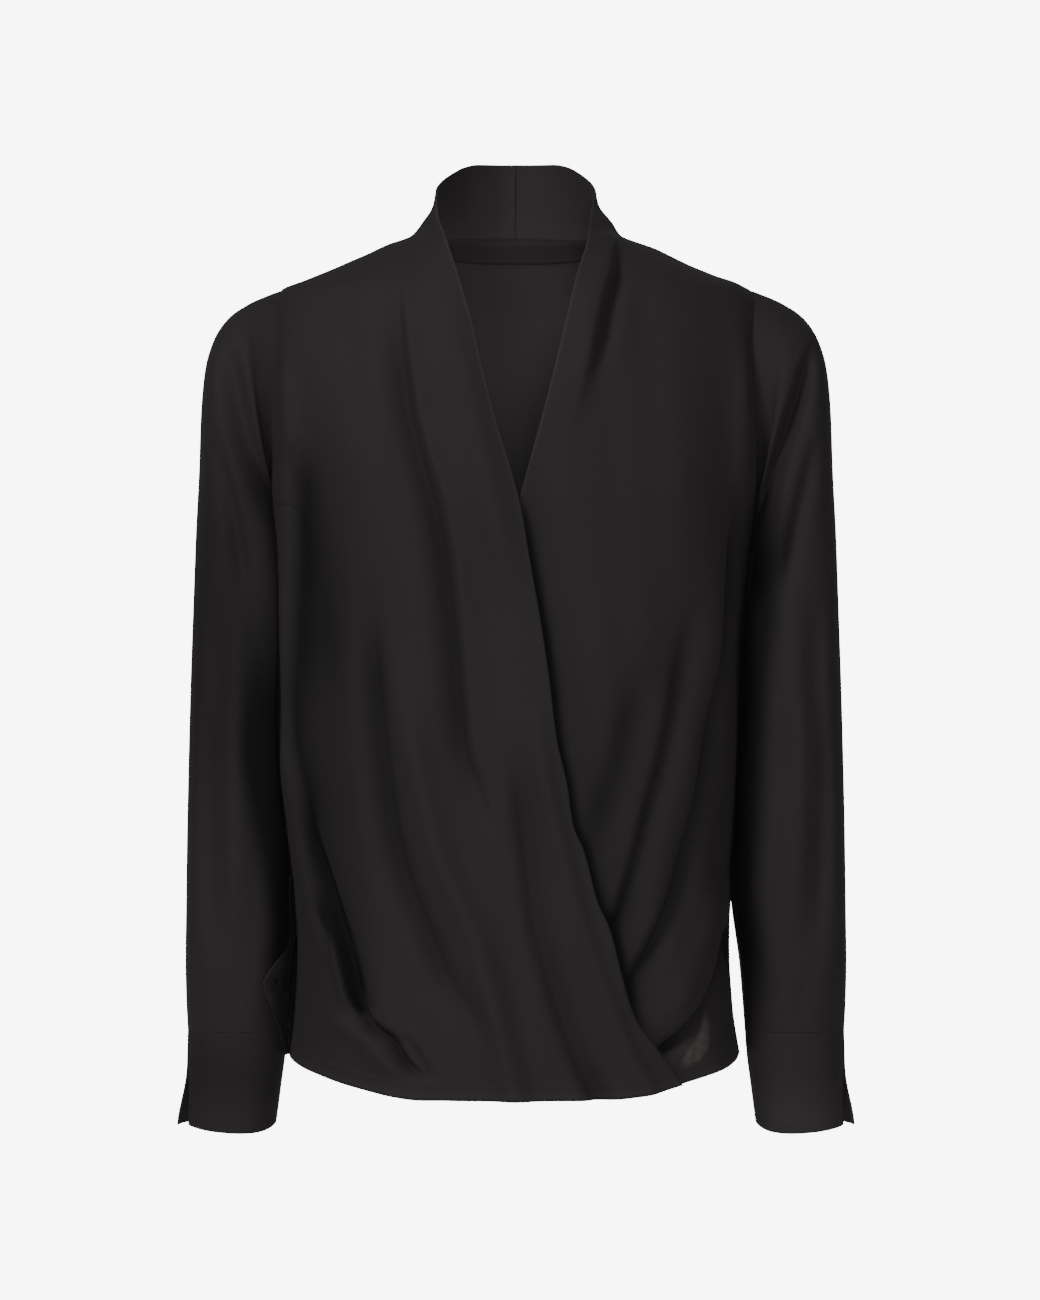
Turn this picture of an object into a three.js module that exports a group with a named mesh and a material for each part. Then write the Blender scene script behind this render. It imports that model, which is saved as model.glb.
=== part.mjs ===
// A long-sleeved wrap top of thin crepe, hollow and filled out as it hangs when worn.
// Millimetres, +X to the wearer's left, -Y to the front, +Z up.
// The origin is in the middle of the neck, level with the inner ends of the shoulder seams.

import * as THREE from "three";

// Cloth and seams
const CLOTH = 2; // wall of every panel
const SEAM = 0.3; // space between two pieces where they are sewn together
const LAYER_DROP = 6; // how far the under front lies inside the over front
const SIDE_Y = 8; // side and shoulder seams lie this far behind the origin
const BODY_ROUNDNESS = 2.5; // 2 is an ellipse, more is squarer
const SLEEVE_ROUNDNESS = 2.2;

// Heights
const HEM_FRONT = -640;
const HEM_SIDE = -613.5;
const HEM_BACK = -650;
const HEM_CURVE_TOP = -500; // above this the rows of a panel are level
const NECK_SEAM_BACK = 4; // the neck seam rises this much to the centre back
const ARMHOLE_TOP = -44;
const UNDERARM = -205;
const ARMHOLE_HALF_DEPTH = 50; // from the middle of the armhole to its front and back edges
const SLEEVE_CLEARANCE = 4; // between a hanging sleeve and the body beside it

// Level rings of the body: half widths to the wearer's right and left, depths to front and back.
const BODY = table(["z", "right", "left", "front", "back"], [
  [-662, 174, 167, 104, 103],
  [-620, 171, 165, 104.5, 102],
  [-580, 167, 162, 105, 101],
  [-530, 164, 159.5, 106, 99],
  [-490, 168, 160.5, 107, 97],
  [-440, 177, 163.5, 109, 94],
  [-390, 184, 166.5, 111, 92],
  [-340, 184.5, 169, 113, 92],
  [-280, 184.5, 175, 115, 94],
  [-205, 185.5, 180, 116, 98],
  [-180, 188, 185, 114, 100],
  [-125, 194, 192, 105, 101],
  [-70, 191, 190, 94, 95],
  [-44, 184, 184, 87, 88],
  [-34, 158.5, 158.5, 82, 84],
  [-26, 139, 139, 78, 80],
  [-19, 120.5, 120.5, 74, 76],
  [-11, 103, 103, 70, 71],
  [-5, 89, 89, 67, 67],
  [0, 75, 75, 64, 64],
  [10, 67, 67, 60, 62],
  [24, 61.5, 61.5, 54, 62],
  [45, 58, 58, 50, 62],
  [62, 56, 56, 50, 61],
]);

// Front edge of each front, as the distance from the middle towards the wearer's left.
const OVER_EDGE = table(["z", "x"], [
  [-640, 123],
  [-615, 108.4],
  [-579, 86.2],
  [-549, 77.4],
  [-515, 68.6],
  [-495, 59.8],
  [-457, 49.6],
  [-440, 42.3],
  [-408, 37.2],
  [-376, 29.9],
  [-330, 24.1],
  [-291, 18.2],
  [-246, 10.3],
  [-208, 3.7],
  [-180, -3.5],
  [-149, -13],
  [-95, -26.9],
  [-75, -31.3],
  [-38, -41.7],
  [3, -54.8],
  [10, -58],
  [18, -59.5],
  [24, -60.2],
  [33, -60.4],
]);
const UNDER_EDGE = table(["z", "x"], [
  [-640, -62],
  [-500, -46],
  [-375, -26],
  [-290, -15],
  [-202, 2.3],
  [-172, 10.3],
  [-143, 18.3],
  [-106, 27.8],
  [-69, 36.6],
  [-37, 44.1],
  [-9, 52.4],
  [5, 54.6],
  [18.7, 57.4],
  [25, 59.4],
  [33, 60.4],
]);

// Top edge of the standing collar, by the angle round the neck from the centre front.
const COLLAR_TOP = table(["angle", "z"], [
  [90, 34],
  [107, 41],
  [126, 50],
  [138, 55.5],
  [151, 59],
  [180, 60],
]);

// Sleeve rings, from the shoulder down: the ring's outer and inner ends in the front view.
// Distances x are from the middle of the body, and depth is half the ring's size front to back.
const SLEEVE = table(["row", "outerX", "outerZ", "innerX", "innerZ", "depth", "middleY"], [
  [0, 186.4, -44, 186.4, -205, 50, 8],
  [1, 199, -50.5, 187, -209.5, 55, 9],
  [2, 212, -61.5, 187, -216, 59, 10],
  [3, 223, -79, 186, -225, 62, 11],
  [4, 230.5, -103, 185, -237, 64, 12],
  [5, 234.5, -135, 181, -252, 65, 13],
  [6, 237.5, -176, 174, -273, 65, 14],
  [7, 240, -223, 167, -300, 64, 15],
  [8, 242, -277, 161, -332, 62.5, 15],
  [9, 244, -336, 158, -370, 61, 14],
  [10, 245.5, -395, 157, -414, 58, 12],
  [11, 246.5, -450, 158, -460, 55, 9],
  [12, 247, -500, 162, -504, 51, 6],
  [13, 247.5, -545, 167.5, -545, 46, 3],
  [14, 247, -575, 170, -575, 41, 1],
  [15, 246, -595.5, 171.5, -595.5, 37, 0],
]);

// Cuff rings, from the sleeve down.
const CUFF = table(["z", "outerX", "innerX", "depth"], [
  [-671, 247, 180.5, 34],
  [-653, 247, 178, 34],
  [-634, 247, 175.5, 34.5],
  [-615, 246.5, 173, 35.5],
  [-595.8, 246, 171.5, 37],
]);
const CUFF_FRONT_END = 24; // angle of the slit's front end, from the cuff's outer side to the front
const CUFF_SLIT = 4; // degrees between the two ends of the cuff
const CUFF_FLARE = 8; // how far the back end springs out at the lower edge
const CUFF_RISE = 6; // how much higher the lower edge is at the slit

// Folds. A path lists points z, x. Widths are to the wearer's right and left of the path.
// Height is outwards: a ridge is above zero and a trough below.
const OVER_FOLDS = [
  fold("crease beside the collar's fall", 9, 6, -5, [
    [-18, -89], [-75, -85.5], [-135, -78], [-168, -70], [-194, -62], [-240, -52], [-285, -47],
    [-328, -43.5], [-384, -38], [-414, -28], [-471, -12],
  ]),
  fold("roll of the collar's fall", 20, 16, 5, [
    [-5, -68], [-38, -62], [-75, -55], [-149, -38], [-194, -28], [-246, -18], [-300, -10],
  ]),
  fold("trough below the armhole", 18, 16, -6, [
    [-110, -150], [-157, -149], [-216, -143], [-275, -146], [-335, -146], [-400, -150],
  ]),
  fold("long side pleat", 7, 14, -8, [
    [-190, -153], [-236, -162], [-265, -166.5], [-305, -168], [-347, -170.5], [-377, -169],
    [-420, -160], [-463, -155.7], [-502, -146.7], [-527, -136], [-557, -125.4], [-585, -112],
  ]),
  fold("inner edge of the hip drape", 24, 7, -7, [
    [-500, -149], [-527, -140], [-565, -126], [-579, -113], [-590, -96.4], [-600, -86],
    [-611, -81], [-622.5, -70.6], [-632, -58],
  ]),
  fold("middle trough", 9, 9, -5, [
    [-270, -108], [-293, -106.3], [-346, -102], [-402, -95.4], [-444.5, -89], [-488, -76.4],
    [-522, -61.8], [-554, -48], [-586, -28], [-625, -10],
  ]),
  fold("ridge to the hem", 14, 14, 6, [
    [-330, -80], [-391, -72.7], [-464, -55], [-515, -32], [-550, -22.5], [-594, -10.8], [-640, 0],
  ]),
  fold("trough near the edge", 9, 9, -4, [
    [-380, 2], [-426, 5], [-470, 10], [-511, 15], [-550, 26], [-586, 37], [-612, 47], [-640, 60],
  ]),
];
const UNDER_FOLDS = [
  fold("roll of the collar's fall", 20, 5, 7, [
    [20, 60], [-4, 68], [-28, 66], [-57, 59], [-95, 52], [-129, 44], [-165, 36],
  ]),
  fold("shadow beside the roll", 4, 10, -4, [
    [-4, 80], [-28, 78], [-57, 70], [-95, 62], [-129, 54], [-160, 47],
  ]),
  fold("first swung trough", 9, 9, -6, [
    [-540, 62], [-518, 70.8], [-504, 77.4], [-467, 88.4], [-426.5, 98.6], [-392, 108], [-353.5, 116],
    [-332, 119], [-290, 127],
  ]),
  fold("ridge between the swung troughs", 11, 11, 5, [
    [-520, 95], [-467, 107], [-426, 117], [-392, 126], [-353, 135], [-310, 141], [-250, 147],
  ]),
  fold("second swung trough", 8, 8, -6, [
    [-575, 84], [-551, 88.4], [-526, 101], [-493, 114], [-444, 128.5], [-404.5, 138], [-357, 146.6],
    [-321.5, 154], [-276.5, 159], [-216, 164], [-176, 167],
  ]),
  fold("soft trough near the edge", 13, 13, -4, [
    [-470, 57], [-435, 67], [-398.5, 77], [-356, 88], [-310, 95],
  ]),
  fold("lower edge of the hip drape", 6, 20, -7, [
    [-622, 100], [-599, 112], [-591, 124], [-571, 141], [-554, 149], [-534, 155.5], [-510, 159],
  ]),
];
const BACK_FOLDS = [
  fold("right hanging trough", 14, 14, -5, [
    [-180, -118], [-280, -112], [-380, -104], [-480, -98], [-580, -104], [-650, -108],
  ]),
  fold("right hanging ridge", 17, 17, 4, [
    [-210, -76], [-320, -72], [-430, -64], [-540, -62], [-650, -70],
  ]),
  fold("middle trough", 16, 16, -4, [
    [-260, -24], [-360, -18], [-470, -22], [-570, -14], [-650, -10],
  ]),
  fold("left hanging ridge", 17, 17, 5, [
    [-240, 44], [-340, 40], [-440, 34], [-540, 42], [-650, 46],
  ]),
  fold("left hanging trough", 14, 14, -6, [
    [-170, 120], [-270, 112], [-370, 100], [-470, 92], [-570, 96], [-650, 102],
  ]),
];
// Sleeve folds lie on the front of the sleeve, or on its back where the height is for the back.
const SLEEVE_FRONT_FOLDS = [
  fold("crease from the underarm", 9, 9, -6, [
    [-88, 224], [-120, 216], [-160, 204], [-200, 196], [-250, 190],
  ]),
  fold("ridge from the shoulder", 10, 10, 4, [
    [-70, 206], [-110, 203], [-160, 193],
  ]),
  fold("long sleeve trough", 10, 10, -4, [
    [-250, 226], [-330, 222], [-400, 228], [-470, 226], [-540, 221],
  ]),
];
const SLEEVE_BACK_FOLDS = [
  fold("crease below the back armhole", 10, 10, -5, [
    [-100, 220], [-150, 208], [-210, 199], [-260, 196],
  ]),
  fold("elbow trough", 12, 12, -5, [
    [-290, 214], [-340, 222], [-400, 219], [-460, 224],
  ]),
];

// Rows of a body panel, as heights before the hem is curved. Beside the armhole they are level
// with the corners of the sleeve's first ring.
const SLEEVE_SIDES = 20;
const ARMHOLE_MIDDLE = (ARMHOLE_TOP + UNDERARM) / 2;
const ARMHOLE_HALF_HEIGHT = (ARMHOLE_TOP - UNDERARM) / 2;
const PANEL_LEVELS = [
  -640, -620, -600, -579, -557, -532, -505, -476, -446, -414, -381, -347, -312, -276, -240,
  ...Array.from({ length: SLEEVE_SIDES / 2 + 1 }, (_, k) => {
    const turn = (Math.PI * 2 * k) / SLEEVE_SIDES;
    return ARMHOLE_MIDDLE - ARMHOLE_HALF_HEIGHT * Math.cos(turn);
  }),
  -34, -26, -18, -10, -4, 0,
];
const COLLAR_FRONT_LEVELS = [6, 13, 20, 27];
const FRONT_COLUMNS = 25;
const BACK_COLUMNS = 23;
const CUFF_COLUMNS = 25;
const COLLAR_COLUMNS = 9;
const COLLAR_ROWS = 5;
const TAPE_COLUMNS = 13;
const TAPE_HEIGHT = 17;
const TAPE_HALF_ANGLE = 52;
const TAPE_CLOTH = 1;
const TAPE_GAP = 0.9; // between the tape and the inside of the back

// Tables, curves and folds

function table(columns, rows) {
  const result = { rows: rows.length };
  columns.forEach((name, k) => { result[name] = rows.map((row) => row[k]); });
  return result;
}

// A curve through points, with no overshoot, held level beyond both ends.
function through(xs, ys) {
  const last = xs.length - 1;
  const slopes = [];
  for (let k = 0; k < last; k++) slopes.push((ys[k + 1] - ys[k]) / (xs[k + 1] - xs[k]));
  const tangents = xs.map((_, k) => {
    if (k === 0) return slopes[0];
    if (k === last) return slopes[last - 1];
    const product = slopes[k - 1] * slopes[k];
    return product <= 0 ? 0 : (2 * product) / (slopes[k - 1] + slopes[k]);
  });
  return (x) => {
    if (x <= xs[0]) return ys[0];
    if (x >= xs[last]) return ys[last];
    let k = 0;
    while (x > xs[k + 1]) k++;
    const step = xs[k + 1] - xs[k];
    const t = (x - xs[k]) / step;
    const rest = 1 - t;
    return ys[k] * (1 + 2 * t) * rest * rest + ys[k + 1] * t * t * (3 - 2 * t)
      + step * tangents[k] * t * rest * rest - step * tangents[k + 1] * t * t * rest;
  };
}

function smoothstep(low, high, x) {
  const t = Math.min(1, Math.max(0, (x - low) / (high - low)));
  return t * t * (3 - 2 * t);
}

function fold(name, rightWidth, leftWidth, height, path) {
  const points = [...path].sort((a, b) => a[0] - b[0]);
  const zs = points.map((p) => p[0]);
  const xAt = through(zs, points.map((p) => p[1]));
  return { name, rightWidth, leftWidth, height, low: zs[0], high: zs[zs.length - 1], xAt };
}

// How far a fold lifts the cloth at x, z in the front view. It fades over the last part of its path.
function foldLift({ rightWidth, leftWidth, height, low, high, xAt }, x, z) {
  if (z <= low - 1 || z >= high) return 0;
  const fade = Math.min(60, 0.35 * (high - low));
  const atHem = low < HEM_SIDE ? 1 : smoothstep(low, low + fade, z);
  const strength = atHem * (1 - smoothstep(high - fade, high, z));
  const slope = xAt(z + 5) - xAt(z - 5);
  const across = (x - xAt(z)) / Math.hypot(1, slope / 10);
  const width = across < 0 ? rightWidth : leftWidth;
  return height * strength * Math.exp(-((across / width) ** 2));
}

const sumOf = (folds) => (x, z) => folds.reduce((sum, row) => sum + foldLift(row, x, z), 0);
const overLift = sumOf(OVER_FOLDS);
const underFoldLift = sumOf(UNDER_FOLDS);
const backLift = sumOf(BACK_FOLDS);

const overEdgeX = through(OVER_EDGE.z, OVER_EDGE.x);
const underEdgeX = through(UNDER_EDGE.z, UNDER_EDGE.x);

// The under front lies inside the over front below the point where they cross.
function underLift(x, z) {
  const below = 1 - smoothstep(-190, -90, z);
  const beside = 1 - smoothstep(4, 44, x - overEdgeX(z));
  return overLift(x, z) + underFoldLift(x, z) - LAYER_DROP * below * beside;
}

// The body's form

const bodyRight = through(BODY.z, BODY.right);
const bodyLeft = through(BODY.z, BODY.left);
const bodyFront = through(BODY.z, BODY.front);
const bodyBack = through(BODY.z, BODY.back);
const collarTop = through(COLLAR_TOP.angle, COLLAR_TOP.z);

const radians = THREE.MathUtils.degToRad;
const degrees = THREE.MathUtils.radToDeg;

function rounded(u, v, a, b, power) {
  return (Math.abs(u / a) ** power + Math.abs(v / b) ** power) ** (-1 / power);
}

// A point of the body at an angle from the centre front, positive to the wearer's left.
function bodyPoint(angle, z) {
  const across = Math.sin(radians(angle));
  const forward = Math.cos(radians(angle));
  const half = across < 0 ? bodyRight(z) : bodyLeft(z);
  const depth = forward < 0 ? bodyBack(z) : bodyFront(z);
  const radius = rounded(across, forward, half, depth, BODY_ROUNDNESS);
  return new THREE.Vector3(radius * across, SIDE_Y - radius * forward, z);
}

// Half the body's width at a depth y, or nothing in front of it and behind it.
function bodyHalfWidth(side, y, z) {
  const half = side < 0 ? bodyRight(z) : bodyLeft(z);
  const depth = y < SIDE_Y ? bodyFront(z) : bodyBack(z);
  const share = Math.abs(y - SIDE_Y) / depth;
  return share >= 1 ? 0 : half * (1 - share ** BODY_ROUNDNESS) ** (1 / BODY_ROUNDNESS);
}

// The angle on the front of the body where it is x from the middle.
function angleAtX(x, z) {
  const half = x < 0 ? bodyRight(z) : bodyLeft(z);
  const share = Math.min(0.9995, Math.abs(x) / half);
  const forward = bodyFront(z) * (1 - share ** BODY_ROUNDNESS) ** (1 / BODY_ROUNDNESS);
  return Math.sign(x) * degrees(Math.atan2(share * half, forward));
}

// The angle from the centre front, without sign, where a panel ends at the side seam or armhole.
function sideAngle(side, z, towardsBack) {
  const share = Math.min(1, Math.abs(z - ARMHOLE_MIDDLE) / ARMHOLE_HALF_HEIGHT);
  const open = Math.max(SEAM / 2, ARMHOLE_HALF_DEPTH * Math.sqrt(1 - share * share));
  const y = SIDE_Y + (towardsBack ? open : -open);
  return degrees(Math.atan2(bodyHalfWidth(side, y, z), SIDE_Y - y));
}

function hemHeight(angle) {
  const turn = Math.abs(angle);
  const lowest = turn < 90 ? HEM_FRONT : HEM_BACK;
  const fromSide = Math.abs(turn - 90);
  return HEM_SIDE + (lowest - HEM_SIDE) * smoothstep(0, 75, fromSide);
}

function neckSeam(angle) {
  return NECK_SEAM_BACK * smoothstep(90, 180, Math.abs(angle));
}

// The height of a panel's row at an angle: the lowest rows follow the curved hem.
function rowHeight(level, angle) {
  const share = 1 - smoothstep(HEM_FRONT, HEM_CURVE_TOP, level);
  return level + (hemHeight(angle) - HEM_FRONT) * share;
}

// Walls

// The place on a surface and its outward direction, from small steps to both sides.
function surfaceFrame(surface, u, v) {
  const along = surface(u + 0.4, v).sub(surface(u - 0.4, v));
  const up = surface(u, v + 1).sub(surface(u, v - 1));
  return { point: surface(u, v), outward: along.cross(up).normalize() };
}

// A body surface lifted by the folds of one panel, as a function of x and z.
function panelSurface(lift) {
  return (angle, z) => {
    const { point, outward } = surfaceFrame(bodyPoint, angle, z);
    return point.addScaledVector(outward, lift(point.x, z));
  };
}

// Outer and inner points of a wall over a grid of u, v places.
function wallPoints(surface, places, cloth, sink = 0) {
  const outer = [];
  const inner = [];
  for (const row of places) {
    const frames = row.map(([u, v]) => surfaceFrame(surface, u, v));
    outer.push(frames.map(({ point, outward }) => point.clone().addScaledVector(outward, -sink)));
    inner.push(frames.map(({ point, outward }) => point.addScaledVector(outward, -sink - cloth)));
  }
  return { outer, inner };
}

// A closed wall from rows of outer and inner points. Around says that each row closes on itself.
function wallMesh(name, { outer, inner }, around, colour) {
  const rows = outer.length;
  const columns = outer[0].length;
  const positions = [];
  const faces = [];
  for (const layer of [outer, inner]) {
    for (const row of layer) for (const p of row) positions.push(p.x, p.y, p.z);
  }
  const skin = rows * columns;
  const at = (layer, row, column) => layer * skin + row * columns + (column % columns);
  const quad = (a, b, c, d) => faces.push(a, b, c, a, c, d);
  const steps = around ? columns : columns - 1;
  for (let j = 0; j + 1 < rows; j++) {
    for (let i = 0; i < steps; i++) {
      quad(at(0, j, i), at(0, j, i + 1), at(0, j + 1, i + 1), at(0, j + 1, i));
      quad(at(1, j, i), at(1, j + 1, i), at(1, j + 1, i + 1), at(1, j, i + 1));
    }
  }
  for (let i = 0; i < steps; i++) {
    quad(at(0, 0, i), at(1, 0, i), at(1, 0, i + 1), at(0, 0, i + 1));
    quad(at(0, rows - 1, i), at(0, rows - 1, i + 1), at(1, rows - 1, i + 1), at(1, rows - 1, i));
  }
  if (!around) {
    for (let j = 0; j + 1 < rows; j++) {
      quad(at(0, j, 0), at(0, j + 1, 0), at(1, j + 1, 0), at(1, j, 0));
      const end = columns - 1;
      quad(at(0, j, end), at(1, j, end), at(1, j + 1, end), at(0, j + 1, end));
    }
  }
  const geometry = new THREE.BufferGeometry();
  geometry.setAttribute("position", new THREE.Float32BufferAttribute(positions, 3));
  geometry.setIndex(faces);
  geometry.computeVertexNormals();
  const material = new THREE.MeshStandardMaterial({ color: colour, roughness: 0.85, metalness: 0 });
  const mesh = new THREE.Mesh(geometry, material);
  mesh.name = name;
  return mesh;
}

function spread(from, to, count) {
  return Array.from({ length: count }, (_, k) => from + ((to - from) * k) / (count - 1));
}

// Fronts. Columns run from the wearer's right to the left, so that the wall faces out.
function front(name, side, edgeX, lift, colour) {
  const places = [...PANEL_LEVELS, ...COLLAR_FRONT_LEVELS].map((level) => {
    const edgeAngle = angleAtX(edgeX(level), level);
    const seamAngle = side * sideAngle(side, level, false);
    const ends = side < 0 ? [seamAngle, edgeAngle] : [edgeAngle, seamAngle];
    return spread(...ends, FRONT_COLUMNS).map((angle) => [angle, rowHeight(level, angle)]);
  });
  return wallMesh(name, wallPoints(panelSurface(lift), places, CLOTH), false, colour);
}

// The back is one panel from side seam to side seam, up to the shoulder and neck seams.
function back(colour) {
  const top = PANEL_LEVELS.length - 1;
  const places = PANEL_LEVELS.map((level, k) => {
    const start = sideAngle(1, level, true);
    const end = 360 - sideAngle(-1, level, true);
    return spread(start, end, BACK_COLUMNS).map((angle) => {
      const turn = angle > 180 ? 360 - angle : angle;
      const rise = k === top ? neckSeam(turn) - SEAM : neckSeam(turn) * smoothstep(-20, 0, level);
      return [angle, rowHeight(level, turn) + rise];
    });
  });
  return wallMesh("back", wallPoints(panelSurface(backLift), places, CLOTH), false, colour);
}

// Half of the standing collar, from above the shoulder seam to the centre back.
function collarHalf(name, side, colour) {
  const gapAngle = (SEAM / 2 / bodyBack(0)) * degrees(1);
  const angles = spread(90 + gapAngle, 180 - gapAngle, COLLAR_COLUMNS);
  const ordered = side < 0 ? angles.map((angle) => 360 - angle).reverse() : angles;
  const places = spread(0, 1, COLLAR_ROWS).map((share) => ordered.map((angle) => {
    const turn = angle > 180 ? 360 - angle : angle;
    const bottom = neckSeam(turn);
    return [angle, bottom + (collarTop(turn) - bottom) * share];
  }));
  return wallMesh(name, wallPoints(bodyPoint, places, CLOTH), false, colour);
}

// The tape that covers the back neck seam, inside the back.
function neckTape(colour) {
  const angles = spread(180 - TAPE_HALF_ANGLE, 180 + TAPE_HALF_ANGLE, TAPE_COLUMNS);
  const places = spread(0, 1, 4).map((share) => angles.map((angle) => {
    const turn = angle > 180 ? 360 - angle : angle;
    const top = neckSeam(turn) - 1.5;
    const height = TAPE_HEIGHT * smoothstep(70, 170, turn);
    return [angle, top - height * (1 - share)];
  }));
  const walls = wallPoints(bodyPoint, places, TAPE_CLOTH, CLOTH + TAPE_GAP);
  return wallMesh("neck_tape", walls, false, colour);
}

// Sleeves and cuffs. An angle of 0 is the outer side, 90 the front and 180 the side by the body.
const sleeveAt = Object.fromEntries(
  ["outerX", "outerZ", "innerX", "innerZ", "depth", "middleY"]
    .map((name) => [name, through(SLEEVE.row, SLEEVE[name])]),
);

function armholePoint(side, angle) {
  const z = ARMHOLE_MIDDLE + ARMHOLE_HALF_HEIGHT * Math.cos(radians(angle));
  const y = SIDE_Y - ARMHOLE_HALF_DEPTH * Math.sin(radians(angle));
  return new THREE.Vector3(side * (bodyHalfWidth(side, y, z) + SEAM), y, z);
}

function sleeveLift(x, y, z, middleY) {
  const folds = y < middleY ? SLEEVE_FRONT_FOLDS : SLEEVE_BACK_FOLDS;
  const facing = smoothstep(2, 22, Math.abs(y - middleY));
  return facing * folds.reduce((sum, row) => sum + foldLift(row, Math.abs(x), z), 0);
}

function sleevePoint(side, angle, row) {
  const values = Object.fromEntries(Object.entries(sleeveAt).map(([name, at]) => [name, at(row)]));
  const across = Math.cos(radians(angle));
  const forward = Math.sin(radians(angle));
  const radius = rounded(across, forward, 1, 1, SLEEVE_ROUNDNESS);
  const share = (radius * across + 1) / 2;
  const z = THREE.MathUtils.lerp(values.innerZ, values.outerZ, share);
  const y = values.middleY - values.depth * radius * forward;
  let x = THREE.MathUtils.lerp(values.innerX, values.outerX, share);
  const lift = sleeveLift(x, y, z, values.middleY) * smoothstep(0, 2, row);
  const clear = SLEEVE_CLEARANCE * smoothstep(UNDERARM, UNDERARM - 40, z) + SEAM;
  const shaped = new THREE.Vector3(0, y - Math.sign(y - values.middleY) * -lift, z);
  if (z < UNDERARM) x = Math.max(x, bodyHalfWidth(side, shaped.y, z) + clear);
  shaped.x = side * x;
  const start = armholePoint(side, angle);
  return start.lerp(shaped, smoothstep(0, 1, row));
}

// The wall of a tube. Across gives the direction of each ring from its inner to its outer side.
function tubeMesh(name, side, surface, across, rows, angles, around, colour) {
  const ordered = side < 0 ? [...angles].reverse() : angles;
  const outer = rows.map((row) => ordered.map((angle) => surface(angle, row)));
  const inner = rows.map((row) => {
    const ringNormal = across(row).cross(new THREE.Vector3(0, 1, 0)).normalize();
    return ordered.map((angle) => {
      const alongRing = surface(angle + 2, row).sub(surface(angle - 2, row));
      const outward = alongRing.cross(ringNormal).normalize();
      return surface(angle, row).addScaledVector(outward, -CLOTH);
    });
  });
  return wallMesh(name, { outer, inner }, around, colour);
}

function sleeve(name, side, colour) {
  const lastRow = SLEEVE.rows - 1;
  const rows = [0, 0.5, ...spread(1, lastRow, lastRow)].reverse();
  const angles = spread(0, 360, SLEEVE_SIDES + 1).slice(0, SLEEVE_SIDES);
  const surface = (angle, row) => sleevePoint(side, angle, row);
  const across = (row) => new THREE.Vector3(
    side * (sleeveAt.outerX(row) - sleeveAt.innerX(row)), 0, sleeveAt.outerZ(row) - sleeveAt.innerZ(row),
  );
  return tubeMesh(name, side, surface, across, rows, angles, true, colour);
}

const cuffAt = Object.fromEntries(
  ["outerX", "innerX", "depth"].map((name) => [name, through(CUFF.z, CUFF[name])]),
);

// Down is 0 at the sleeve and 1 at the lower edge of the cuff.
function cuffPoint(side, angle, down) {
  const top = CUFF.z[CUFF.rows - 1];
  const outerSide = (1 + Math.cos(radians(angle))) / 2;
  const bottom = CUFF.z[0] + CUFF_RISE * outerSide ** 3;
  const z = top + (bottom - top) * down;
  const across = Math.cos(radians(angle));
  const forward = Math.sin(radians(angle));
  const fromBackEnd = CUFF_FRONT_END + 360 - CUFF_SLIT - angle;
  const flare = CUFF_FLARE * down ** 1.5 * Math.exp(-((fromBackEnd / 28) ** 2));
  const half = (cuffAt.outerX(z) - cuffAt.innerX(z)) / 2;
  const radius = rounded(across, forward, half, cuffAt.depth(z), SLEEVE_ROUNDNESS) + flare;
  const middle = (cuffAt.outerX(z) + cuffAt.innerX(z)) / 2;
  return new THREE.Vector3(side * (middle + radius * across), -radius * forward, z);
}

function cuff(name, side, colour) {
  const angles = spread(CUFF_FRONT_END, CUFF_FRONT_END + 360 - CUFF_SLIT, CUFF_COLUMNS);
  const surface = (angle, down) => cuffPoint(side, angle, down);
  const across = () => new THREE.Vector3(side, 0, 0);
  return tubeMesh(name, side, surface, across, spread(1, 0, CUFF.rows), angles, false, colour);
}

// Assembly

const BLACK_CREPE = 0x252324;
const BLACK_TAPE = 0x1d1b1d;

const wrapTop = new THREE.Group();
wrapTop.add(
  back(BLACK_CREPE),
  front("front_right", -1, overEdgeX, overLift, BLACK_CREPE),
  front("front_left", 1, underEdgeX, underLift, BLACK_CREPE),
  collarHalf("collar_right", -1, BLACK_CREPE),
  collarHalf("collar_left", 1, BLACK_CREPE),
  neckTape(BLACK_TAPE),
);
for (const [word, side] of [["right", -1], ["left", 1]]) {
  wrapTop.add(sleeve(`sleeve_${word}`, side, BLACK_CREPE), cuff(`cuff_${word}`, side, BLACK_CREPE));
}

export default wrapTop;
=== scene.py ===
import math

import bmesh
import bpy
import numpy as np
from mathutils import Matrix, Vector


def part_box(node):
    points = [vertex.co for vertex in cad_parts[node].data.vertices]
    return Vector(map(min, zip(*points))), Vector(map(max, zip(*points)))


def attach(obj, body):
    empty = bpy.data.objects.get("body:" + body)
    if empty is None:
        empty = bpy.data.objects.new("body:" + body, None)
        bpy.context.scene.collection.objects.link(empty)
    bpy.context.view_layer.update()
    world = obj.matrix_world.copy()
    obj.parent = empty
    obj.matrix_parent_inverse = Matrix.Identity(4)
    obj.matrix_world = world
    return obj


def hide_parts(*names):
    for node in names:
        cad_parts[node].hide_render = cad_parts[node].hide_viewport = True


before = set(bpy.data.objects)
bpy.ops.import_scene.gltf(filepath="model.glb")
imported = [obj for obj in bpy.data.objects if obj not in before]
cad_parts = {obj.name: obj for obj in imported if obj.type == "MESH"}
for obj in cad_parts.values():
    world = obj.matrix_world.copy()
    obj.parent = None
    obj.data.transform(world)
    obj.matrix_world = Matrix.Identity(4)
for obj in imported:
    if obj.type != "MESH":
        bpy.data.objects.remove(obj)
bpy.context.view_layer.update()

# The whole scene is in metres in the frame's own axes. The tables below are in millimetres.
MM = 0.001

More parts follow.
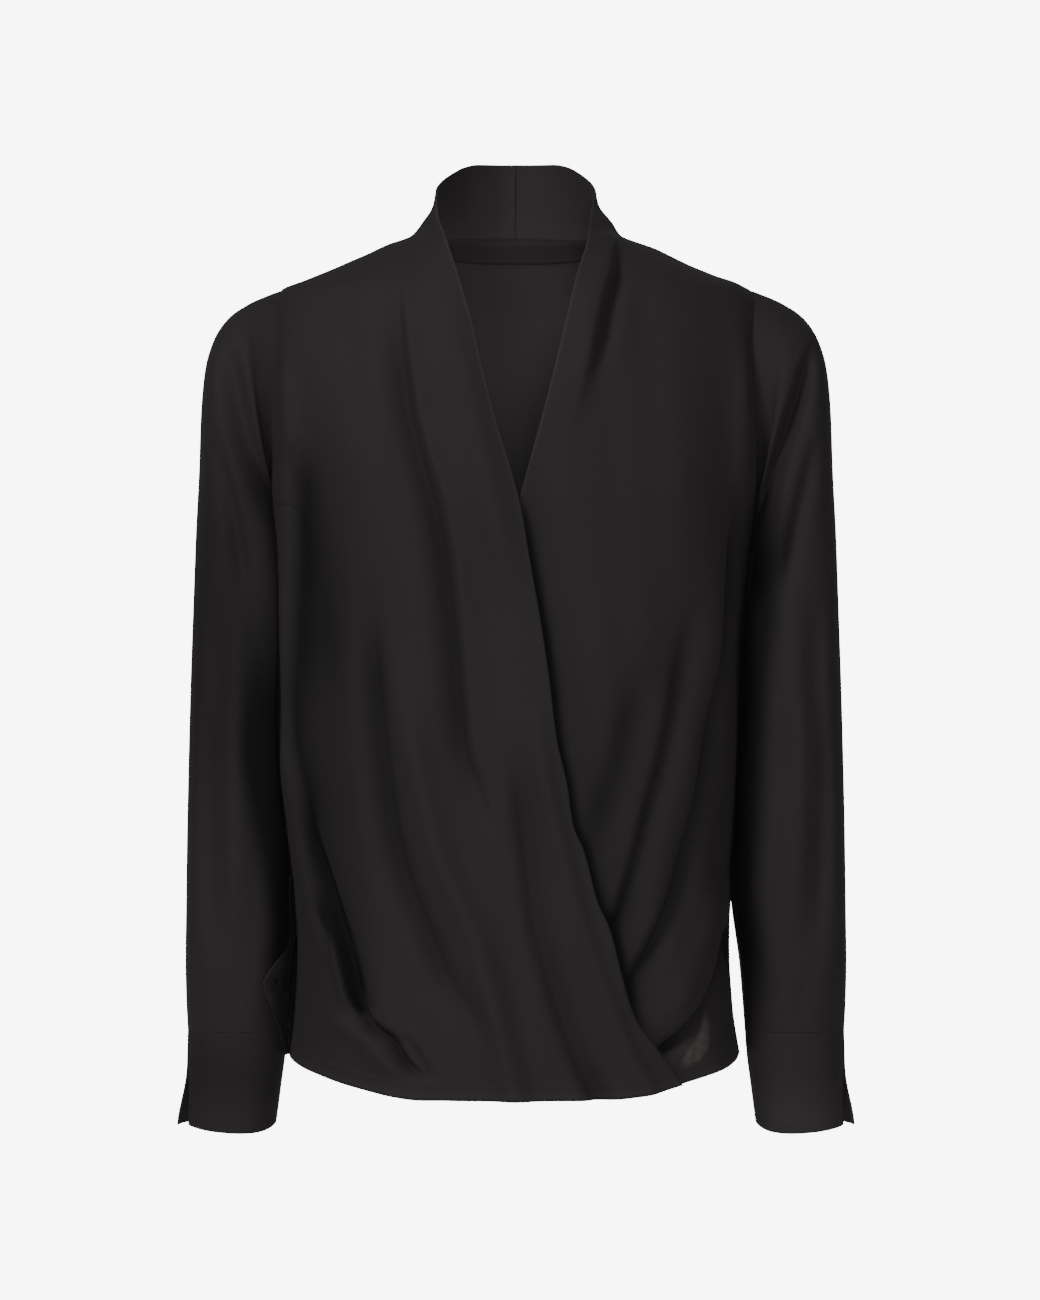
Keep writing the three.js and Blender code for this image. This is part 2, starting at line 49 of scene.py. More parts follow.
# Camera: level, straight on, at the height that shows the hem and cuffs a little from above
PHOTO_WIDTH, PHOTO_HEIGHT = 1040, 1300
PHOTO_SCALE = 0.75 * MM  # metres to a pixel at the neck's depth
CAMERA_DISTANCE = 3.3
MIDDLE_PIXEL_X, NECK_PIXEL_Y = 516, 235  # where the origin shows in the photograph
SENSOR_HEIGHT = 24
FLOOR_Z, FLOOR_HALF = -1.05, 1.5
ROOM_LIGHT = 0.12
BACKDROP_LIGHT = 8
# Lamps: name, place, what it points at, size and power
LAMPS = (
    ("key", (-1.75, -1.95, 2.0), (0, 0, -0.3), 1.0, 64),
    ("front", (0.1, -3.5, -0.2), (0, 0, -0.3), 0.45, 34),
    ("fill", (2.2, -1.8, 0.4), (0, 0, -0.3), 1.3, 11),
    ("back", (-0.05, 3.2, -0.3), (0, 0, -0.3), 1.0, 42),
    ("neck", (0, -0.03, -0.085), (0, 0.1, -0.1), 0.1, 0.12),
)

# Cloth
CLOTH = 0.9  # thickness of the visible shells
COLLAR_CLOTH, CUFF_CLOTH, TAPE_CLOTH = 1.6, 1.8, 0.4  # folded double, and a thin tape
TAPE_INSET = 1.4  # between the outer sides of the back and the tape
SEAM_DIP = 0.3  # how far a panel turns in at its seams
SEAM_REACH = 1.8
FOLD_CALM = 9  # folds die away this near a seam
PAINTED_SHADE_DEPTHS = (1, 17)  # painted shade: cloth in a fold is painted darker between these depths
LAYER_DROP = 6  # how far the under front lies inside the over front
HEM_STITCH, CUFF_STITCH = 11, 5  # heights of the stitches above the edges
SIDE_Y = 8  # the depth of the body's sides
SLEEVE_ROUNDNESS = 2.2

# Heights and gaps, the first five from the frame's own pieces
HEM_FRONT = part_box("front_right")[0][2] / MM
HEM_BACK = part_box("back")[0][2] / MM
CUFF_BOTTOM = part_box("cuff_right")[0][2] / MM
CUFF_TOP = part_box("cuff_right")[1][2] / MM
COLLAR_BACK_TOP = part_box("collar_right")[1][2] / MM
HEM_SIDE = -613.5
HEM_TURN = 57  # degrees beyond the sides over which the hem falls to its lowest
HEM_CURVE_TOP = -500  # rows above this are level
NECK_SEAM_BACK = 4
ARMHOLE_TOP = -41
UNDERARM = -205
ARMHOLE_MIDDLE, ARMHOLE_HALF = (ARMHOLE_TOP + UNDERARM) / 2, (ARMHOLE_TOP - UNDERARM) / 2
ARMHOLE_HALF_DEPTH = 50
ARMHOLE_TUCK = 0.45  # how far the sleeve's first ring lies inside the armhole's edge
SLEEVE_TOUCH = 0.6  # the least gap between body and sleeve down to the hip
SLEEVE_CLEARANCE = 3.9  # and below it
SLEEVE_PARTS = (506, 540)  # distances below the neck over which the gap grows
FOLD_STRENGTH = 1.55  # every fold's height is multiplied by this


def columns(names, rows):
    """A short table as named columns."""
    return {name: np.array([row[k] for row in rows], float) for k, name in enumerate(names)}


def through(xs, ys):
    """A curve through points, with no overshoot, level beyond both ends."""
    xs, ys = np.asarray(xs, float), np.asarray(ys, float)
    slopes = np.diff(ys) / np.diff(xs)
    tangents = np.empty(len(xs))
    tangents[0], tangents[-1] = slopes[0], slopes[-1]
    product = slopes[:-1] * slopes[1:]
    total = np.where(product > 0, slopes[:-1] + slopes[1:], 1)
    tangents[1:-1] = np.where(product > 0, 2 * product / total, 0)

    def at(x):
        x = np.clip(x, xs[0], xs[-1])
        k = np.clip(np.searchsorted(xs, x, side="right") - 1, 0, len(slopes) - 1)
        step = xs[k + 1] - xs[k]
        t = (x - xs[k]) / step
        rest = 1 - t
        near = ys[k] * (1 + 2 * t) * rest**2 + step * tangents[k] * t * rest**2
        far = ys[k + 1] * t**2 * (3 - 2 * t) - step * tangents[k + 1] * t**2 * rest
        return near + far

    return at


def curves(table, key):
    """The other columns of a table, each as a curve over the one named key."""
    return {name: through(table[key], table[name]) for name in table if name != key}


def smoothstep(low, high, x):
    t = np.clip((np.asarray(x, float) - low) / (high - low), 0, 1)
    return t * t * (3 - 2 * t)


def band(rise_from, rise_to, fall_from, fall_to, x):
    """Up from nothing to one and back to nothing."""
    return smoothstep(rise_from, rise_to, x) * (1 - smoothstep(fall_from, fall_to, x))


def bump(x, width):
    return np.exp(-((x / width) ** 2))


# The body's level rings: half widths to the wearer's right and left, depths to front and back
BODY = columns(
    ["z", "right", "left", "front", "back"],
    [
        [-662, 174, 171, 104, 103],
        [-620, 171, 169, 104.5, 102],
        [-598, 168.8, 165.5, 104.8, 101.5],
        [-580, 167, 163, 105, 101],
        [-530, 164, 160.3, 106, 99],
        [-490, 168, 160.5, 107, 97],
        [-440, 177, 163.5, 109, 94],
        [-390, 184, 166.5, 111, 92],
        [-340, 184.5, 169, 113, 92],
        [-280, 184.5, 175, 115, 94],
        [-205, 185.5, 180, 116, 98],
        [-180, 188, 185, 114, 100],
        [-125, 194, 192, 105, 101],
        [-100, 193, 191.5, 100.8, 99],
        [-85, 192.2, 191, 97.4, 97.3],
        [-70, 191, 190, 93.4, 94.6],
        [-56, 187, 186.5, 89, 91.5],
        [-50, 184.2, 184, 86.8, 89.6],
        [-45, 180.5, 180.5, 84.8, 87.8],
        [-41, 176, 176, 83, 86],
        [-37, 167.5, 167.5, 81.3, 84.4],
        [-34, 159.8, 159.8, 80, 83],
        [-26, 140, 140, 76.4, 79],
        [-19, 122, 122, 73, 75.5],
        [-11, 104.5, 104.5, 69.2, 71],
        [-5, 91, 91, 66.4, 67],
        [0, 79, 79, 64, 64],
        [10, 70.5, 71, 60, 62],
        [24, 61.5, 61.5, 54, 62],
        [45, 58, 58, 50, 62],
        [62, 56, 56, 50, 61],
    ],
)
body_right, body_left, body_front, body_back = curves(BODY, "z").values()
body_roundness = through([-200, -110, -60, -20], [2.5, 2.4, 2.1, 2.0])

# The front edges, from the hem up, as distances from the middle
OVER_EDGE = columns(
    ["z", "x"],
    [
        [-640, 123], [-615, 108.4], [-579, 86.2], [-549, 77.4], [-515, 68.6], [-495, 59.8],
        [-457, 49.6], [-440, 42.3], [-408, 37.2], [-376, 29.9], [-330, 24.1], [-291, 18.2],
        [-246, 10.3], [-208, 3.7], [-180, -3.5], [-149, -13], [-95, -26.9], [-75, -31.3],
        [-38, -41.7], [3, -54.8], [10, -57.2], [18, -58.2], [24, -58.8], [33, -59.4],
    ],
)
UNDER_EDGE = columns(
    ["z", "x"],
    [
        [-640, -62], [-500, -46], [-375, -26], [-290, -15], [-202, 2.3], [-172, 10.3],
        [-143, 18.3], [-106, 27.8], [-69, 36.6], [-37, 44.1], [-9, 52.4], [5, 54.6],
        [18.7, 57], [25, 58.4], [33, 59.4],
    ],
)
over_edge_x = through(OVER_EDGE["z"], OVER_EDGE["x"])
under_edge_x = through(UNDER_EDGE["z"], UNDER_EDGE["x"])
COLLAR_TOP = columns(
    ["angle", "z"],
    [[90, 34], [107, 42], [126, 51], [138, 56.5], [151, 59.4], [180, COLLAR_BACK_TOP]],
)
collar_top = through(COLLAR_TOP["angle"], COLLAR_TOP["z"])

# Sleeve rings from the shoulder down, and cuff rings from the lower edge up
SLEEVE = columns(
    ["row", "outer_x", "outer_z", "inner_x", "inner_z", "depth", "middle_y"],
    [
        [0, 186.4, -44, 186.4, -205, 50, 8],
        [1, 199, -50.5, 187, -209.5, 55, 9],
        [2, 214, -60.5, 187, -216, 59, 10],
        [3, 226, -77.5, 186, -225, 62, 11],
        [4, 233, -102, 183, -237, 64, 12],
        [5, 236, -135, 179, -252, 65, 13],
        [6, 237.5, -176, 174, -273, 65, 14],
        [7, 240, -223, 167, -300, 64, 15],
        [8, 242, -277, 161, -332, 62.5, 15],
        [9, 244, -336, 158, -370, 61, 14],
        [10, 245.5, -395, 157, -414, 58, 12],
        [11, 246.5, -450, 158, -460, 55, 9],
        [12, 247, -500, 162, -504, 51, 6],
        [13, 247.5, -545, 167.5, -545, 46, 3],
        [14, 247, -575, 170, -575, 41, 1],
        [15, 246, -595.5, 171.5, -595.5, 37, 0],
    ],
)
sleeve_at = curves(SLEEVE, "row")
CUFF = columns(
    ["z", "outer_x", "inner_x", "depth"],
    [
        [-671, 247, 180.5, 34],
        [-653, 247, 178, 34],
        [-634, 247, 175.5, 34.5],
        [-615, 246.5, 173, 35.5],
        [-595.8, 246, 171.5, 37],
    ],
)
cuff_at = curves(CUFF, "z")
CUFF_FRONT_END, CUFF_SLIT = 24, 4  # degrees from the outer side to the slit, and its width
CUFF_FLARE = 8  # how far the slit's back edge stands out
CUFF_RISE = 6  # how far the lower edge rises at the outer and inner sides

# Folds: a path of z, x points, the fold's width to the wearer's right and to the left of it,
# and its height, above zero for a ridge and below for a trough. Fade is the length over which
# its two ends die away.
def fold(right, left, height, path, fade=60, fade_low=None):
    points = sorted(path)
    zs = [p[0] for p in points]
    return {
        "right": right,
        "left": left,
        "height": height,
        "low": zs[0],
        "high": zs[-1],
        "fade_high": min(fade, 0.5 * (zs[-1] - zs[0])),
        "fade_low": min(fade_low or fade, 0.5 * (zs[-1] - zs[0])),
        "x_at": through(zs, [p[1] for p in points]),
    }


OVER_FOLDS = {
    "crease beside the collar's fall": fold(13, 5, -5.6, [
        [-12, -89], [-75, -85.5], [-135, -78], [-168, -70], [-194, -62], [-240, -52],
        [-285, -47], [-328, -43.5], [-384, -38], [-414, -28], [-471, -12],
    ], fade=110),
    "lip inside that crease": fold(6, 12, 1.6, [
        [-12, -83], [-75, -79.5], [-135, -71.5], [-168, -63.5], [-194, -55.5], [-240, -45.5],
        [-285, -40.5], [-328, -37],
    ], fade=70),
    "roll of the collar's fall": fold(16, 16, 3.8, [
        [-5, -66], [-38, -60], [-75, -51], [-149, -34], [-194, -22], [-246, -10], [-300, 0],
    ], fade=90),
    "trough below the armhole": fold(20, 20, -4, [
        [-90, -150], [-157, -145], [-216, -138], [-275, -140], [-335, -142], [-400, -146],
    ], fade=110),
    "chest slope": fold(30, 26, 2.5, [
        [-60, -118], [-160, -116], [-260, -118], [-340, -122],
    ], fade=100),
    "long side pleat": fold(5, 15, -5.8, [
        [-150, -168], [-195, -166], [-236, -165], [-265, -166.5], [-305, -168], [-347, -170.5], [-377, -169],
        [-420, -160], [-463, -155.7], [-502, -146.7], [-527, -138], [-550, -129],
    ], fade=45, fade_low=60),
    "deep pocket beside the hip drape": fold(5.5, 9, -5.2, [
        [-400, -166], [-440, -159.5], [-480, -147], [-505, -136.5], [-530, -126], [-554, -119],
        [-569, -115.5], [-581, -113],
    ], fade=140, fade_low=10),
    "edge of the hip drape": fold(4, 3.5, 2.4, [
        [-450, -160.5], [-480, -153.5], [-506, -145.5], [-529, -135], [-553, -128], [-568, -124],
        [-580, -116.5],
    ], fade=60, fade_low=14),
    "line under the hip drape": fold(4, 3, -6.2, [
        [-570, -116], [-584, -107], [-596, -91], [-609, -82.5], [-620, -73], [-625, -64],
        [-628, -54],
    ], fade=10, fade_low=14),
    "small crease in the hip drape": fold(4, 3, -2.2, [
        [-588, -86], [-602, -75], [-616, -66], [-628, -60],
    ], fade=15),
    "ridge under the hip drape": fold(9, 6, 3.4, [
        [-574, -137], [-590, -119], [-602, -105], [-616, -93], [-628, -80],
    ], fade=18),
    "middle trough": fold(13, 8, -5.2, [
        [-250, -109], [-293, -106.3], [-346, -102], [-402, -95.4], [-444.5, -89],
        [-488, -76.4], [-522, -61.8], [-554, -48], [-586, -28], [-625, -10],
    ], fade=90),
    "ridge to the hem": fold(13, 12, 5.5, [
        [-300, -84], [-391, -72.7], [-464, -55], [-515, -32], [-550, -22.5], [-594, -10.8],
        [-640, 0],
    ], fade=100),
    "trough near the edge": fold(8, 12, -4.8, [
        [-360, 0], [-426, 5], [-470, 10], [-511, 15], [-550, 26], [-586, 37], [-612, 47],
        [-640, 60],
    ], fade=80),
    "low ridge along the edge": fold(9, 7, 2.6, [
        [-330, 12], [-408, 22], [-457, 34], [-495, 44], [-549, 60], [-600, 80], [-640, 100],
    ], fade=80),
    "shoulder drag line": fold(9, 12, -1.8, [
        [-30, -128], [-80, -120], [-140, -114], [-190, -112],
    ], fade=60),
    "armhole ridge": fold(7, 7, 2.2, [
        [-70, -176], [-110, -172], [-160, -168], [-230, -172],
    ], fade=50),
}
# Painted shade in the deep pocket's mouth beside the hip drape: its limits as seen from the front
DRAPE_MOUTH = columns(
    ["z", "right", "left"],
    [
        [-580, -115, -112.5], [-568, -124, -112.5], [-554, -128.5, -113], [-529, -135, -122],
        [-507, -146, -133], [-487, -154, -144],
    ],
)
DRAPE_MOUTH_SPAN = (-582, -576, -525, -480)  # heights over which it darkens and lightens again
drape_mouth_at = curves(DRAPE_MOUTH, "z")
# The limits of the painted light through a single-layer patch low on the wearer's left
PATCH = columns(
    ["z", "left", "right"],
    [[-617, 121, 128], [-610, 123.5, 138], [-600, 131, 142], [-590, 136, 142], [-578, 139, 141.5]],
)
PATCH_SPAN = (-619, -613, -585, -576)
PATCH_EDGE = 1.5
patch_at = curves(PATCH, "z")
# The slipped corner's outer and inner limits as seen from the front, from its lower end up
CORNER = columns(
    ["z", "outer", "inner"],
    [
        [-614, 172, 167], [-604, 174, 163.5], [-592, 176, 162], [-579, 181, 161], [-565, 186.5, 161],
        [-557, 187.5, 161], [-549, 182.5, 161], [-539, 174, 161], [-531, 169, 161],
        [-515, 168, 160.5], [-480, 168, 160.5],
    ],
)
# Broad soft shade where the drape hangs away from the light: piece, x, z, reach across and
# down, and amount
SOFT_SHADE = (
    ("front_right", -138, -370, 30, 190, 0.34),
    ("front_left", 98, -430, 42, 120, 0.2),
    ("sleeve_right", -222, -300, 60, 130, 0.4),
    ("cuff_right", -222, -640, 60, 40, 0.36),
)
UNDER_FOLDS = {
    "roll of the collar's fall": fold(15, 7, 4.2, [
        [20, 60], [-4, 68], [-28, 66], [-57, 59], [-95, 51.5], [-129, 44], [-165, 36],
    ], fade=70),
    "shadow beside the roll": fold(3.5, 8, -3.6, [
        [4, 77], [-28, 76], [-57, 69], [-95, 61.5], [-120, 56],
    ], fade=40, fade_low=45),
    "first swung trough": fold(5, 10, -4, [
        [-560, 58], [-518, 70.8], [-504, 77.4], [-467, 88.4], [-426.5, 98.6], [-392, 108],
        [-353.5, 116], [-332, 119], [-270, 131],
    ], fade=70),
    "ridge between the swung troughs": fold(12, 12, 1.4, [
        [-560, 90], [-520, 95], [-467, 107], [-426, 117], [-392, 126], [-353, 135],
        [-310, 141], [-250, 147],
    ], fade=80),
    "second swung trough": fold(4, 10, -5.4, [
        [-585, 80], [-551, 88.4], [-526, 101], [-493, 114], [-444, 128.5], [-404.5, 138],
        [-357, 146.6], [-321.5, 154], [-276.5, 159], [-216, 164], [-176, 167],
    ], fade=70),
    "soft trough near the edge": fold(13, 13, -4, [
        [-480, 55], [-435, 67], [-398.5, 77], [-356, 88], [-310, 95],
    ], fade=60),
    "swag above the hip": fold(12, 12, 3, [
        [-600, 106], [-570, 120], [-540, 133], [-505, 146], [-470, 154],
    ], fade=35),
    "lower edge of the hip drape": fold(3, 8, -5.5, [
        [-615, 100], [-602, 112], [-591, 124], [-571, 141], [-554, 149], [-534, 154],
        [-512, 157],
    ], fade=16),
    "armhole ridge": fold(7, 7, 2, [
        [-70, 172], [-120, 168], [-180, 168], [-240, 166],
    ], fade=50),
    "chest slope": fold(30, 30, 2, [
        [-60, 112], [-160, 110], [-260, 108], [-340, 106],
    ], fade=100),
}
BACK_FOLDS = {
    "right hanging trough": fold(13, 9, -5, [
        [-150, -120], [-280, -112], [-380, -104], [-480, -98], [-580, -104], [-655, -108],
    ], fade=120),
    "right hanging ridge": fold(17, 15, 4, [
        [-210, -76], [-320, -72], [-430, -64], [-540, -62], [-655, -70],
    ], fade=120),
    "right inner trough": fold(9, 12, -3, [
        [-300, -44], [-400, -40], [-500, -36], [-655, -42],
    ], fade=120),
    "middle trough": fold(16, 14, -4, [
        [-260, -24], [-360, -18], [-470, -22], [-570, -14], [-655, -10],
    ], fade=120),
    "left hanging ridge": fold(16, 18, 5, [
        [-240, 44], [-340, 40], [-440, 34], [-540, 42], [-655, 46],
    ], fade=120),
    "left inner trough": fold(10, 8, -3, [
        [-330, 70], [-430, 66], [-530, 70], [-655, 76],
    ], fade=110),
    "left hanging trough": fold(9, 14, -6, [
        [-140, 122], [-270, 112], [-370, 100], [-470, 92], [-570, 96], [-655, 102],
    ], fade=120),
    "shoulder blade hollow": fold(34, 34, -3, [
        [-60, 0], [-140, 2], [-240, 0],
    ], fade=80),
    "right armhole drag": fold(8, 8, 2.5, [
        [-80, -168], [-140, -160], [-220, -152], [-300, -150],
    ], fade=70),
    "left armhole drag": fold(8, 8, 2.5, [
        [-90, 166], [-150, 158], [-230, 150], [-320, 146],
    ], fade=70),
}
SLEEVE_FRONT_FOLDS = {
    "second underarm crease": fold(5, 7, -3, [
        [-140, 226], [-180, 216], [-230, 205], [-280, 199],
    ], fade=45),
    "long sleeve trough": fold(10, 8, -4, [
        [-250, 226], [-330, 222], [-400, 228], [-470, 226], [-560, 221],
    ], fade=80),
    "long sleeve ridge": fold(11, 12, 3, [
        [-300, 206], [-380, 210], [-450, 208], [-540, 205],
    ], fade=80),
    "wrist gather": fold(5, 6, -1.2, [
        [-540, 214], [-570, 212], [-598, 211],
    ], fade=30),
}
LEFT_SLEEVE_FOLDS = {
    "crease from the shoulder to the underarm": fold(4, 8, -7.5, [
        [-72, 225], [-94, 217], [-124, 207.5], [-172, 192], [-214, 182], [-255, 176], [-290, 173],
    ], fade=35),
    "light ridge inside that crease": fold(12, 8, 1.8, [
        [-66, 206], [-110, 196], [-160, 184],
    ], fade=30),
}
RIGHT_SLEEVE_FOLDS = {
    "crease from the underarm": fold(7, 11, -4.6, [
        [-72, 220], [-90, 213], [-122, 206], [-161, 197], [-191, 185], [-230, 178],
    ], fade=40),
    "light ridge beside that crease": fold(9, 8, 2, [
        [-60, 203], [-100, 195], [-150, 186], [-190, 176],
    ], fade=35),
}
SLEEVE_BACK_FOLDS = {
    "crease below the back armhole": fold(9, 9, -5, [
        [-100, 220], [-150, 208], [-210, 199], [-260, 196],
    ], fade=50),
    "elbow trough": fold(12, 9, -5, [
        [-290, 214], [-340, 222], [-400, 219], [-460, 224],
    ], fade=60),
    "elbow ridge": fold(10, 12, 3.5, [
        [-330, 202], [-390, 204], [-450, 200], [-520, 203],
    ], fade=60),
    "first wrist pleat": fold(4, 5, -2.6, [
        [-530, 226], [-565, 222], [-598, 220],
    ], fade=40),
    "second wrist pleat": fold(4, 5, -2.6, [
        [-540, 203], [-570, 202], [-598, 201],
    ], fade=40),
}


# A fold whose path starts below this height keeps its height down to the hem
OPEN_ENDED = -635
SLOPE_STEP = 4


def fold_lift(row, x, z):
    """How far one fold lifts the cloth at x, z in the front view."""
    reach = np.clip(z, row["low"], row["high"])
    start = smoothstep(row["low"], row["low"] + row["fade_low"], z) if row["low"] > OPEN_ENDED else 1
    strength = start * (1 - smoothstep(row["high"] - row["fade_high"], row["high"], z))
    slope = (row["x_at"](reach + SLOPE_STEP) - row["x_at"](reach - SLOPE_STEP)) / (2 * SLOPE_STEP)
    across = (x - row["x_at"](reach)) / np.hypot(1, slope)
    width = np.where(across < 0, row["right"], row["left"])
    return row["height"] * strength * bump(across, width)


def folds_lift(rows, x, z):
    return sum(fold_lift(row, x, z) for row in rows.values())


# Waves too slight to be folds: wavelength across and down, height and phase
SLIGHT_WAVES = ((61, 410, 0.55, 0.3), (43, 290, 0.4, 1.9), (97, 190, 0.45, 4.1), (29, 330, 0.22, 2.6))


def slight_waves(x, z, offset):
    total = 0
    for across, down, height, phase in SLIGHT_WAVES:
        bend = 0.9 * np.sin(2 * np.pi * z / (1.7 * down) + phase + offset)
        wave = 2 * np.pi * (x / across + z / down) + phase + offset
        total = total + height * np.sin(wave + bend)
    return total


def over_lift(x, z):
    return folds_lift(OVER_FOLDS, x, z)


def under_lift(x, z):
    """The under front has the over front's folds and its own, and lies further in beside the edge."""
    below = 1 - smoothstep(-190, -90, z)
    beside = 1 - smoothstep(4, 44, x - over_edge_x(z))
    return over_lift(x, z) + folds_lift(UNDER_FOLDS, x, z) - LAYER_DROP / FOLD_STRENGTH * below * beside


def back_lift(x, z):
    return folds_lift(BACK_FOLDS, x, z)


# The body's form

def rounded(u, v, a, b, power):
    return (np.abs(u / a) ** power + np.abs(v / b) ** power) ** (-1 / power)


def body_point(angle, z):
    """Points at angles from the centre front, positive to the wearer's left."""
    across, forward = np.sin(np.radians(angle)), np.cos(np.radians(angle))
    half = np.where(across < 0, body_right(z), body_left(z))
    depth = np.where(forward < 0, body_back(z), body_front(z))
    radius = rounded(across, forward, half, depth, body_roundness(z))
    return np.stack([radius * across, SIDE_Y - radius * forward, z], -1)


def body_half_width(side, y, z):
    half = body_right(z) if side < 0 else body_left(z)
    depth = np.where(y < SIDE_Y, body_front(z), body_back(z))
    share = np.clip(np.abs(y - SIDE_Y) / depth, 0, 1)
    return half * (1 - share ** body_roundness(z)) ** (1 / body_roundness(z))


def angle_at_x(x, z):
    half = np.where(x < 0, body_right(z), body_left(z))
    share = np.minimum(0.9995, np.abs(x) / half)
    forward = body_front(z) * (1 - share ** body_roundness(z)) ** (1 / body_roundness(z))
    return np.sign(x) * np.degrees(np.arctan2(share * half, forward))


def side_angle(side, z, towards_back):
    """The side seam's angle, and above the underarm that of the armhole's front or back edge."""
    share = np.minimum(1, np.abs(z - ARMHOLE_MIDDLE) / ARMHOLE_HALF)
    open_by = np.maximum(0.02, ARMHOLE_HALF_DEPTH * np.sqrt(1 - share**2))
    y = SIDE_Y + (open_by if towards_back else -open_by)
    return np.degrees(np.arctan2(body_half_width(side, y, z), SIDE_Y - y))


def turn_of(angles):
    """The turn away from the centre front, the same to both sides."""
    return np.where(angles > 180, 360 - angles, angles)


def hem_height(angle):
    turn = np.abs(angle)
    lowest = np.where(turn < 90, HEM_FRONT, HEM_BACK)
    return HEM_SIDE + (lowest - HEM_SIDE) * smoothstep(0, HEM_TURN, np.abs(turn - 90))


def neck_seam(turn):
    return NECK_SEAM_BACK * smoothstep(90, 180, turn)


def row_height(level, angle):
    share = 1 - smoothstep(HEM_FRONT, HEM_CURVE_TOP, level)
    return level + (hem_height(angle) - HEM_FRONT) * share


# Grids and meshes

ANGLE_STEP, HEIGHT_STEP = 0.4, 1.0


def unit(vectors):
    return vectors / np.linalg.norm(vectors, axis=-1, keepdims=True)


def body_outward(angle, z):
    """Outward directions of the body's form, from small steps to both sides of each point."""
    along = body_point(angle + ANGLE_STEP, z) - body_point(angle - ANGLE_STEP, z)
    up = body_point(angle, z + HEIGHT_STEP) - body_point(angle, z - HEIGHT_STEP)
    return unit(np.cross(along, up))


def grid_outward(points):
    return unit(np.cross(np.gradient(points, axis=1), np.gradient(points, axis=0)))


def seam_dip(points, seams, depth, reach):
    """A dip that is deepest at the seams, which name the edges of the grid that are sewn."""
    dip = np.zeros(points.shape[:2])
    steps = {
        "start": np.cumsum(np.linalg.norm(np.diff(points, axis=1, prepend=points[:, :1]), axis=-1), 1),
        "bottom": np.cumsum(np.linalg.norm(np.diff(points, axis=0, prepend=points[:1]), axis=-1), 0),
    }
    steps["end"] = steps["start"][:, -1:] - steps["start"]
    steps["top"] = steps["bottom"][-1:] - steps["bottom"]
    for edge in seams:
        dip = np.maximum(dip, depth * bump(steps[edge], reach))
    return dip


def panel_grid(angles, heights, lift, seams, wave_offset):
    """Outer points of a body panel and the painted shade from how deep in a fold each lies. Lift is for the
    front view.
    """
    base = body_point(angles, heights)
    lifted = FOLD_STRENGTH * lift(base[..., 0], heights)
    lifted = lifted + slight_waves(base[..., 0], heights, wave_offset)
    lifted = lifted * (1 - seam_dip(base, seams, 1, FOLD_CALM))
    dipped = lifted - seam_dip(base, seams, SEAM_DIP, SEAM_REACH)
    points = base + body_outward(angles, heights) * dipped[..., None]
    return points, smoothstep(*PAINTED_SHADE_DEPTHS, -lifted)


def add_object(name, data):
    made = bpy.data.objects.new(name, data)
    bpy.context.scene.collection.objects.link(made)
    return made


def grid_object(name, points, around=False, thickness=CLOTH, painted_light=0, pocket=0):
    """A sheet of quads with its thickness inwards, a map of its flat lengths in metres,
    and masks of painted light, as through a single layer, and of painted shade, as deep in a fold."""
    rows, count = points.shape[:2]
    mesh = bpy.data.meshes.new(name)
    vertices = (points.reshape(-1, 3) * MM).tolist()
    steps = count if around else count - 1
    faces = [
        (j * count + i, j * count + (i + 1) % count, (j + 1) * count + (i + 1) % count, (j + 1) * count + i)
        for j in range(rows - 1)
        for i in range(steps)
    ]
    mesh.from_pydata(vertices, [], faces)
    across = np.linalg.norm(np.diff(np.concatenate([points, points[:, :1]], 1), axis=1), axis=-1)
    u = np.concatenate([np.zeros((rows, 1)), np.cumsum(across, 1)], 1) * MM
    u = u - u[:, count // 2 : count // 2 + 1]
    down = np.linalg.norm(np.diff(points, axis=0), axis=-1)
    v = np.concatenate([np.zeros((1, count)), np.cumsum(down, 0)], 0) * MM
    v = np.concatenate([v, v[:, :1]], 1)
    cut_map = mesh.uv_layers.new(name="cut")
    corners = [
        (u[j + b, i + a], v[j + b, i + a])
        for j in range(rows - 1)
        for i in range(steps)
        for a, b in ((0, 0), (1, 0), (1, 1), (0, 1))
    ]
    cut_map.data.foreach_set("uv", np.array(corners, np.float32).ravel())
    for mask, amount in (("painted_light", painted_light), ("pocket", pocket)):
        values = np.clip(np.broadcast_to(amount, points.shape[:2]), 0, 1)
        layer = mesh.attributes.new(mask, "FLOAT", "POINT")
        layer.data.foreach_set("value", values.astype(np.float32).ravel())
    mesh.shade_smooth()
    made = add_object(name, mesh)
    wall = made.modifiers.new("cloth", "SOLIDIFY")
    wall.thickness = thickness * MM
    wall.offset = -1
    wall.use_even_offset = False
    return made


def join(target, extra):
    """Adds the second object's mesh to the first one's."""
    both = bmesh.new()
    both.from_mesh(target.data)
    both.from_mesh(extra.data)
    both.to_mesh(target.data)
    both.free()
    target.data.shade_smooth()
    bpy.data.objects.remove(extra)


def finish_piece(made, material, nodes):
    made.data.materials.append(material)
    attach(made, "root")
    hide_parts(*nodes)


# Materials

def wire(tree, made, sockets):
    """Links each named input to an output, or sets it where the value is a plain one."""
    for name, value in sockets.items():
        if isinstance(value, bpy.types.NodeSocket):
            tree.links.new(value, made.inputs[name])
        else:
            made.inputs[name].default_value = value


def node(tree, kind, x, y, sockets=None, **values):
    made = tree.nodes.new(kind)
    made.location = (x, y)
    for name, value in values.items():
        setattr(made, name, value)
    wire(tree, made, sockets or {})
    return made


def number(tree, x, y, operation, *terms):
    return node(tree, "ShaderNodeMath", x, y, dict(enumerate(terms)), operation=operation).outputs[0]


def vector(tree, x, y, operation, sockets):
    return node(tree, "ShaderNodeVectorMath", x, y, sockets, operation=operation).outputs[0]


